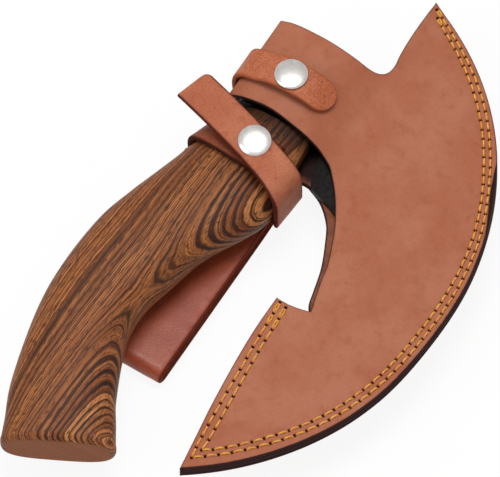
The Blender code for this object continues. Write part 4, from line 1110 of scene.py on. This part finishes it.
def make_poll_strap():
    """Root on the back, bend round the poll and the flap with its rounded tip, in one piece."""
    root_level = -(PANEL_CROWN + GAP + LEATHER / 2)
    path = [(POLL_STRAP_ROOT_X, root_level), (POLL_BEND_X * 0.6 + POLL_STRAP_ROOT_X * 0.4, root_level)]
    turns = 60
    path += [poll_bend_point(270.0 - (270.0 - POLL_CREASE_TURN) * step / turns) for step in range(turns + 1)]
    steps = 70
    for step in range(1, steps + 1):
        run = (POLL_TIP_X - POLL_CREASE[0]) * step / steps
        share = min(1.0, run / LEATHER / 2)
        height = poll_flap_height(POLL_CREASE[0] + run)
        path.append((POLL_CREASE[0] + run, POLL_CREASE[1] + (height - POLL_CREASE[1]) * share))
    half = POLL_STRAP_WIDTH / 2
    level = []
    for x, z in resample(path, 1.0):
        y = poll_flap_y(x) if z > 0 else POLL_STRAP_Y
        level.append((Vector((x, y - half, z)), Vector((x, y + half, z))))
    level = softened(level, 6)
    pairs = level[:-POLL_TIP_ROWS]
    tail = level[-POLL_TIP_ROWS:]
    for step in range(POLL_TIP_STEPS + 1):
        reach = sin(pi / 2 * step / POLL_TIP_STEPS) * (POLL_TIP_ROWS - 1)
        index = min(int(reach), POLL_TIP_ROWS - 2)
        low, high = pair_between(tail, index, reach - index)
        middle = (low + high) / 2
        width = max(TIP_END_SHARE, tip_width(tail[-1][0].x - low.x, POLL_TIP_ROUND))
        pairs.append((middle + (low - middle) * width, middle + (high - middle) * width))
    strap = strap_loft("poll_strap_leather", pairs, POLL_LEATHER, None,
                       ("poll_strap", "poll_strap_flap"), seed=2.0)
    middle = Vector((POLL_CREASE[0], POLL_STRAP_Y, POLL_CREASE[1]))
    blend_flap(strap, "poll_flap", middle, *POLL_BLEND)


# Handle


def handle_stations(steps=3):
    """Middle, width and thickness of the handle from its butt to its shoulder."""
    points = [(EYE_X + x * HANDLE_REACH, EYE_RIM_Y - GAP - y * HANDLE_REACH, w * HANDLE_WIDTH,
               t * HANDLE_THICKNESS) for x, y, w, t in HANDLE_SHARES]
    return smooth_curve(points, steps)


CENTRE_CURVE = [(y, x, width, thickness) for x, y, width, thickness in handle_stations()]


def strap_band(turn, level, power, edge):
    """Place across and over the handle of one edge of the strap round it."""
    y = HANDLE_STRAP_Y + edge * HANDLE_STRAP_WIDTH / 2
    half_width = read_curve(CENTRE_CURVE, y, 2) / 2
    x, z = rounded(turn, half_width + STRAP_EASE + LEATHER / 2, level, power)
    return read_curve(CENTRE_CURVE, y, 1) + x, z


def strap_level():
    low_edge = HANDLE_STRAP_Y - HANDLE_STRAP_WIDTH / 2
    thickness = read_curve(CENTRE_CURVE, low_edge - STRAP_EASE, 3)
    return thickness / 2 + STRAP_EASE + LEATHER / 2


def flap_rise(turn):
    """Rise of the flap, even along X from the tail to the crease."""
    away = (cos(radians(turn)) / cos(radians(HANDLE_CREASE_TURN))) ** (2 / BEND_POWER)
    return FLAP_RISE_SHARES[0] + (FLAP_RISE_SHARES[1] - FLAP_RISE_SHARES[0]) * away


def strap_pair(turn, height, power, rise):
    """Edges of the strap at a turn; over its right bend the band stays straight as the handle tapers."""
    free = smooth_step(*FLARE_START, turn) if turn > 180.0 else 1.0 - smooth_step(*FLARE_END, turn)
    flare = free * cos(radians(turn))
    pair = []
    for edge, out, down in ((-1, 0.0, BEND_DROP), (1, BEND_FLARE, 0.0)):
        x, z = strap_band(turn, height, power, edge)
        y = HANDLE_STRAP_Y + (rise + edge / 2) * HANDLE_STRAP_WIDTH
        pair.append(Vector((x + out * flare, y - down * flare, z)))
    return tuple(pair)


def wrap_pairs(level, over):
    """The strap's turn round the handle, from its end under the flap to the crease."""
    rise = smooth_curve(WRAP_RISE_SHARES, 12)
    steps = 220
    wrap = []
    for step in range(steps + 1):
        turn = UNDER_LAYER_TURN + (360.0 + HANDLE_CREASE_TURN - UNDER_LAYER_TURN) * step / steps
        height = level + (over - level) * smooth_step(*LIFT_TURNS, turn)
        power = SECTION_POWER if turn < 180.0 else BACK_POWER
        power += (BEND_POWER - power) * smooth_step(*SQUARE_TURNS, turn)
        wrap.append((turn, strap_pair(turn, height, power, read_curve(rise, turn))))
    return wrap


def tail_pairs(low, high):
    """The flap's straight run to its end, with one rounded corner."""
    start = (low + high) / 2
    across = (high - low) / 2
    end_across = Vector((TAIL_RISE_SHARE, 1.0, 0.0)).normalized() * across.length * TAIL_TAPER_SHARE
    run = start.x - SNAP_2_X + TAIL_LENGTH + TAIL_END_EXTRA
    pairs = []
    fine = TAIL_STEPS - TAIL_FINE_STEPS
    for step in range(TAIL_STEPS + 1):
        share = step / TAIL_STEPS if step < fine else 2 / 3 + sin((step - fine) / TAIL_FINE_STEPS * pi / 2) / 3
        middle = start + Vector((-run * share, run * share * TAIL_RISE_SHARE, -TAIL_FALL * share**2))
        half = across.lerp(end_across, share)
        high_share = 1.0 - corner_cut(run * (1.0 - share), TAIL_ROUND) / half.length
        pairs.append((middle - half, middle + half * high_share))
    return pairs


def make_handle_strap(level):
    """Under layer with the left bend and half of the back, then the rest with its flap."""
    over = level + LEATHER + SNAP_STACK
    wrap = wrap_pairs(level, over)
    under = [pair for turn, pair in wrap if turn <= SEAM_TURN]
    upper = [pair for turn, pair in wrap if turn > SEAM_TURN - SEAM_OVERLAP]
    crease = upper[-1]
    steps = 60
    for step in range(1, steps + 1):
        turn = HANDLE_CREASE_TURN + (90.0 - HANDLE_CREASE_TURN) * step / steps
        upper.append(strap_pair(turn, over, BEND_POWER, flap_rise(turn)))
    upper += tail_pairs(*upper.pop())
    upper = softened(even_pairs(upper[:-TAIL_FINE_STEPS], 1.0), 4) + upper[-TAIL_FINE_STEPS:]
    # the wrap gets the darker leather, painted shade under the flap
    strap_loft("handle_strap_wrap_leather", softened(even_pairs(under, 1.0), 8), SHADED_UNDER_LEATHER,
               "sheathed_knife", ("handle_strap",), seed=7.0)
    flap = strap_loft("handle_strap_top_leather", upper, STRAP_LEATHER, None,
                      ("handle_strap_flap",), seed=9.0)
    blend_flap(flap, "handle_flap", (crease[0] + crease[1]) / 2, *HANDLE_BLEND)


def handle_rings():
    """Centre, direction, width, thickness and power of each ring from the butt to the tenon's top."""
    stations = handle_stations(9)
    last = len(stations) - 1
    butt, ahead = (Vector(station[:2]) for station in stations[:2])
    axis = (ahead - butt).normalized()
    rings = []
    for turn in range(0, 90, 10):
        inset = 2 * BUTT_ROUND * (1.0 - sin(radians(turn)))
        along = BUTT_ROUND * (1.0 - cos(radians(turn)))
        rings.append((butt + axis * along, axis, stations[0][2] - inset, stations[0][3] - inset, BUTT_POWER))
    up = Vector((0.0, 1.0))
    for index in range(3, last + 1):
        x, y, width, thickness = stations[index]
        behind, ahead = stations[max(index - 4, 0)], stations[min(index + 4, last)]
        along = Vector((ahead[0] - behind[0], ahead[1] - behind[1])).normalized()
        power = SECTION_POWER + (BUTT_POWER - SECTION_POWER) * max(0.0, 1.0 - 3.0 * index / (last + 1))
        rings.append((Vector((x, y)), along if index < last - 5 else up, width, thickness, power))
    tenon = (EYE_HOLE_LENGTH - 2 * GAP, EYE_HOLE_THICKNESS - 2 * GAP, SECTION_POWER)
    rings += [(Vector((EYE_X, y)), up, *tenon) for y in (EYE_RIM_Y - GAP, TENON_TOP_Y)]
    return rings


def held(value, limit):
    return min(limit, max(-limit, value))


def make_handle():
    """S-curved grip with its shoulder under the eye and the kerfed tenon through it."""
    shape = Shape("butt")
    rings = handle_rings()
    loops = []
    for number, (centre, direction, width, thickness, power) in enumerate(rings):
        across = Vector((direction.y, -direction.x, 0.0))
        ring = []
        for side in range(HANDLE_SIDES):
            x, z = rounded(360.0 * side / HANDLE_SIDES, width / 2, thickness / 2, power)
            ring.append(Vector((*centre, z)) + across * x)
        loops.append(shape.add(ring, butt=1.0 if number < 2 else 0.0))
    shape.skin(loops)
    centre = Vector((*rings[0][0], 0.0))
    face = [loops[0]]
    for share in BUTT_FACE_SHARES:
        ring = [centre + (shape.points[index] - centre) * share for index in loops[0]]
        face.append(shape.add(ring, butt=1.0))
    shape.skin(face)
    shape.faces.append(tuple(face[-1]))
    top = [shape.points[index] for index in loops[-1]]
    kerf = [loops[-1]]
    for y, thickness in ((TENON_TOP_Y, WEDGE_TOP_THICKNESS), (TENON_TOP_Y - WEDGE_DEPTH, WEDGE_TIP_THICKNESS)):
        ring = [Vector((EYE_X + held(point.x - EYE_X, WEDGE_LENGTH / 2 + GAP), y,
                        held(point.z, thickness / 2 + GAP))) for point in top]
        kerf.append(shape.add(ring, butt=0.0))
    shape.skin(kerf)
    shape.faces.append(tuple(kerf[-1]))
    shape.build("handle_grip", WOOD, "sheathed_knife", ("handle",))


# Belt loop


def loop_height(y, poll_level, handle_level):
    share = min(1.0, max(0.0, (y - LOOP_OPEN_Y) / (LOOP_JOINED_Y - LOOP_OPEN_Y)))
    return handle_level + (poll_level - handle_level) * (1.0 - cos(pi * share)) / 2


def make_belt_loop(level):
    """Wide strip folded at its lower end, both layers riveted under the poll strap's root."""
    front = (-(PANEL_CROWN + GAP + LEATHER + GAP + LEATHER / 2), -level - LEATHER / 2 - GAP - LEATHER / 2)
    back = (front[0] - LEATHER - GAP, front[1] - LEATHER - BELT_SLOT)
    steps = 90
    runs = [LOOP_TOP_Y + (LOOP_FOLD_Y - LOOP_TOP_Y) * step / steps for step in range(steps + 1)]
    radius = (front[1] - back[1]) / 2
    turns = [pi * step / 16 for step in range(1, 16)]
    path = [(y, loop_height(y, *front)) for y in runs]
    path += [(LOOP_FOLD_Y - radius * sin(turn), back[1] + radius * (1.0 + cos(turn))) for turn in turns]
    path += [(y, loop_height(y, *back)) for y in reversed(runs)]
    left, right = LOOP_X - LOOP_WIDTH / 2, LOOP_X + LOOP_WIDTH / 2
    pairs = [(Vector((right, y, z)), Vector((left, y, z))) for y, z in path]
    strap_loft("belt_loop_leather", pairs, LOOP_LEATHER, "sheathed_knife", ("belt_loop",),
               seed=15.0)


# Snap caps


def cap_profile():
    """Domed cap with a rolled rim, from the crown down, then its flat underside."""
    rim = SNAP_CAP_DIAMETER / 2
    rim_height = CAP_RIM_SHARE * SNAP_CAP_HEIGHT
    turns = [radians(turn) for turn in range(88, 0, -6)]
    dome = [(rim * cos(turn), rim_height + (SNAP_CAP_HEIGHT - rim_height) * sin(turn)) for turn in turns]
    return dome + [(rim, rim_height), (rim, rim_height * 0.5), (rim - 0.15, 0.1), (rim - 0.5, -0.05)]


def make_cap(name, centre, tilt, body, node):
    shape = Shape()
    turn_up = Vector((0.0, 0.0, 1.0)).rotation_difference(Vector(tilt).normalized()).to_matrix()
    turns = [2 * pi * side / CAP_SIDES for side in range(CAP_SIDES)]
    shape.tube([shape.add([Vector(centre) + turn_up @ Vector((radius * cos(turn), radius * sin(turn), height))
                           for turn in turns]) for radius, height in cap_profile()])
    shape.build(name, NICKEL, body, (node,))


def make_caps(level):
    base = PANEL_CROWN + SNAP_STACK + LEATHER + GAP
    make_cap("snap_1_dome", (SNAP_1_X, poll_flap_y(SNAP_1_X), base), (0.0, 0.0, 1.0), "poll_flap", "snap_1_cap")
    base = level + LEATHER / 2 + SNAP_STACK + LEATHER + GAP
    make_cap("snap_2_dome", (SNAP_2_X, HANDLE_STRAP_Y + SNAP_2_RISE, base), SNAP_2_TILT, "handle_flap",
             "snap_2_cap")


# Carried-over pieces


def dress_nodes():
    """Materials for the construction's own pieces."""
    materials = (("snap_", NICKEL), ("belt_rivet_", NICKEL), ("strap_rivet_", NICKEL), ("blade_head", STEEL),
                 ("eye_wedge", WEDGE_WOOD), ("handle", WOOD))
    for name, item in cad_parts.items():
        for start, material in materials:
            if name == start or start.endswith("_") and name.startswith(start):
                item.data.materials.clear()
                item.data.materials.append(material)


# Stage, light and camera


def seen_directly(tree):
    """One where the view, a reflection or clear glass looks at the surface, and zero for its light."""
    paths = add_node(tree, "LightPath").outputs
    seen = maths(tree, "MAXIMUM", paths["Is Camera Ray"], paths["Is Glossy Ray"])
    return maths(tree, "MAXIMUM", seen, paths["Is Transmission Ray"])


def show_white(tree, plain, white, share, output):
    """Mixes a share of plain white into what is shown."""
    fill(white, Color=(1.0, 1.0, 1.0, 1.0))
    both = add_node(tree, "MixShader", i0=share, i1=plain.outputs[0], i2=white.outputs[0])
    fill(tree.nodes[output], Surface=both.outputs[0])


def add_floor():
    mesh = bpy.data.meshes.new("floor")
    half = FLOOR_SIZE / 2
    mesh.from_pydata([(-half, -half, 0.0), (half, -half, 0.0), (half, half, 0.0), (-half, half, 0.0)], [],
                     [(0, 1, 2, 3)])
    floor = bpy.data.objects.new("floor", mesh)
    floor.location.z = -FLOOR_CLEAR
    bpy.context.scene.collection.objects.link(floor)
    material, tree, shader = new_material("white_paper")
    shade = noise_value(tree, add_node(tree, "TexCoord").outputs["Object"], 40.0, 2.0)
    tone = mixed(tree, band(tree, shade, 0.3, 0.7), (0.97, 0.97, 0.97), (1.0, 1.0, 1.0))
    fill(shader, Base_Color=tone, Roughness=0.9, Specular_IOR_Level=0.0)
    share = maths(tree, "MULTIPLY", seen_directly(tree), PAPER_GLOW)
    show_white(tree, shader, add_node(tree, "Emission"), share, "Material Output")
    mesh.materials.append(material)


def add_world():
    world = bpy.data.worlds.new("studio")
    bpy.context.scene.world = world
    world.use_nodes = True
    tree = world.node_tree
    light = fill(tree.nodes["Background"], Color=(1.0, 1.0, 1.0, 1.0), Strength=WORLD_LIGHT)
    height = add_node(tree, "SeparateXYZ", i0=add_node(tree, "TexCoord").outputs["Generated"]).outputs["Z"]
    seen = maths(tree, "MAXIMUM", add_node(tree, "LightPath").outputs["Is Camera Ray"],
                 band(tree, height, 0.75, 1.0, HORIZON_WHITE, 1.0))
    show_white(tree, light, add_node(tree, "Background", Strength=seen), seen_directly(tree), "World Output")


def aimed(name, data, azimuth, elevation, distance):
    """Lamp or camera that looks at the object."""
    turn = radians(azimuth)
    lift = radians(elevation)
    direction = Vector((sin(turn) * cos(lift), -cos(turn) * cos(lift), sin(lift)))
    item = bpy.data.objects.new(name, data)
    item.location = place(TARGET) + direction * distance
    item.rotation_euler = direction.to_track_quat("Z", "Y").to_euler()
    bpy.context.scene.collection.objects.link(item)
    return item


def add_lamp(name, azimuth, elevation, distance, size, power):
    """Soft round lamp."""
    lamp = bpy.data.lights.new(name, "AREA")
    lamp.shape = "DISK"
    lamp.size = size
    lamp.energy = power
    aimed(name, lamp, azimuth, elevation, distance)


def add_camera():
    camera = bpy.data.cameras.new("camera")
    camera.lens = CAMERA_SENSOR * CAMERA_DISTANCE / CAMERA_WIDTH
    camera.sensor_width = CAMERA_SENSOR
    camera.clip_start = 0.01
    bpy.context.scene.camera = aimed("camera", camera, CAMERA_AZIMUTH, CAMERA_ELEVATION, CAMERA_DISTANCE)


make_sheath()
make_sewing()
make_poll_strap()
STRAP_LEVEL = strap_level()
make_handle_strap(STRAP_LEVEL)
make_handle()
make_belt_loop(STRAP_LEVEL)
make_caps(STRAP_LEVEL)
dress_nodes()
add_floor()
add_world()
add_lamp("key", *KEY_LAMP)
add_lamp("fill", *FILL_LAMP)
add_camera()

bpy.context.scene.view_settings.view_transform = "Standard"
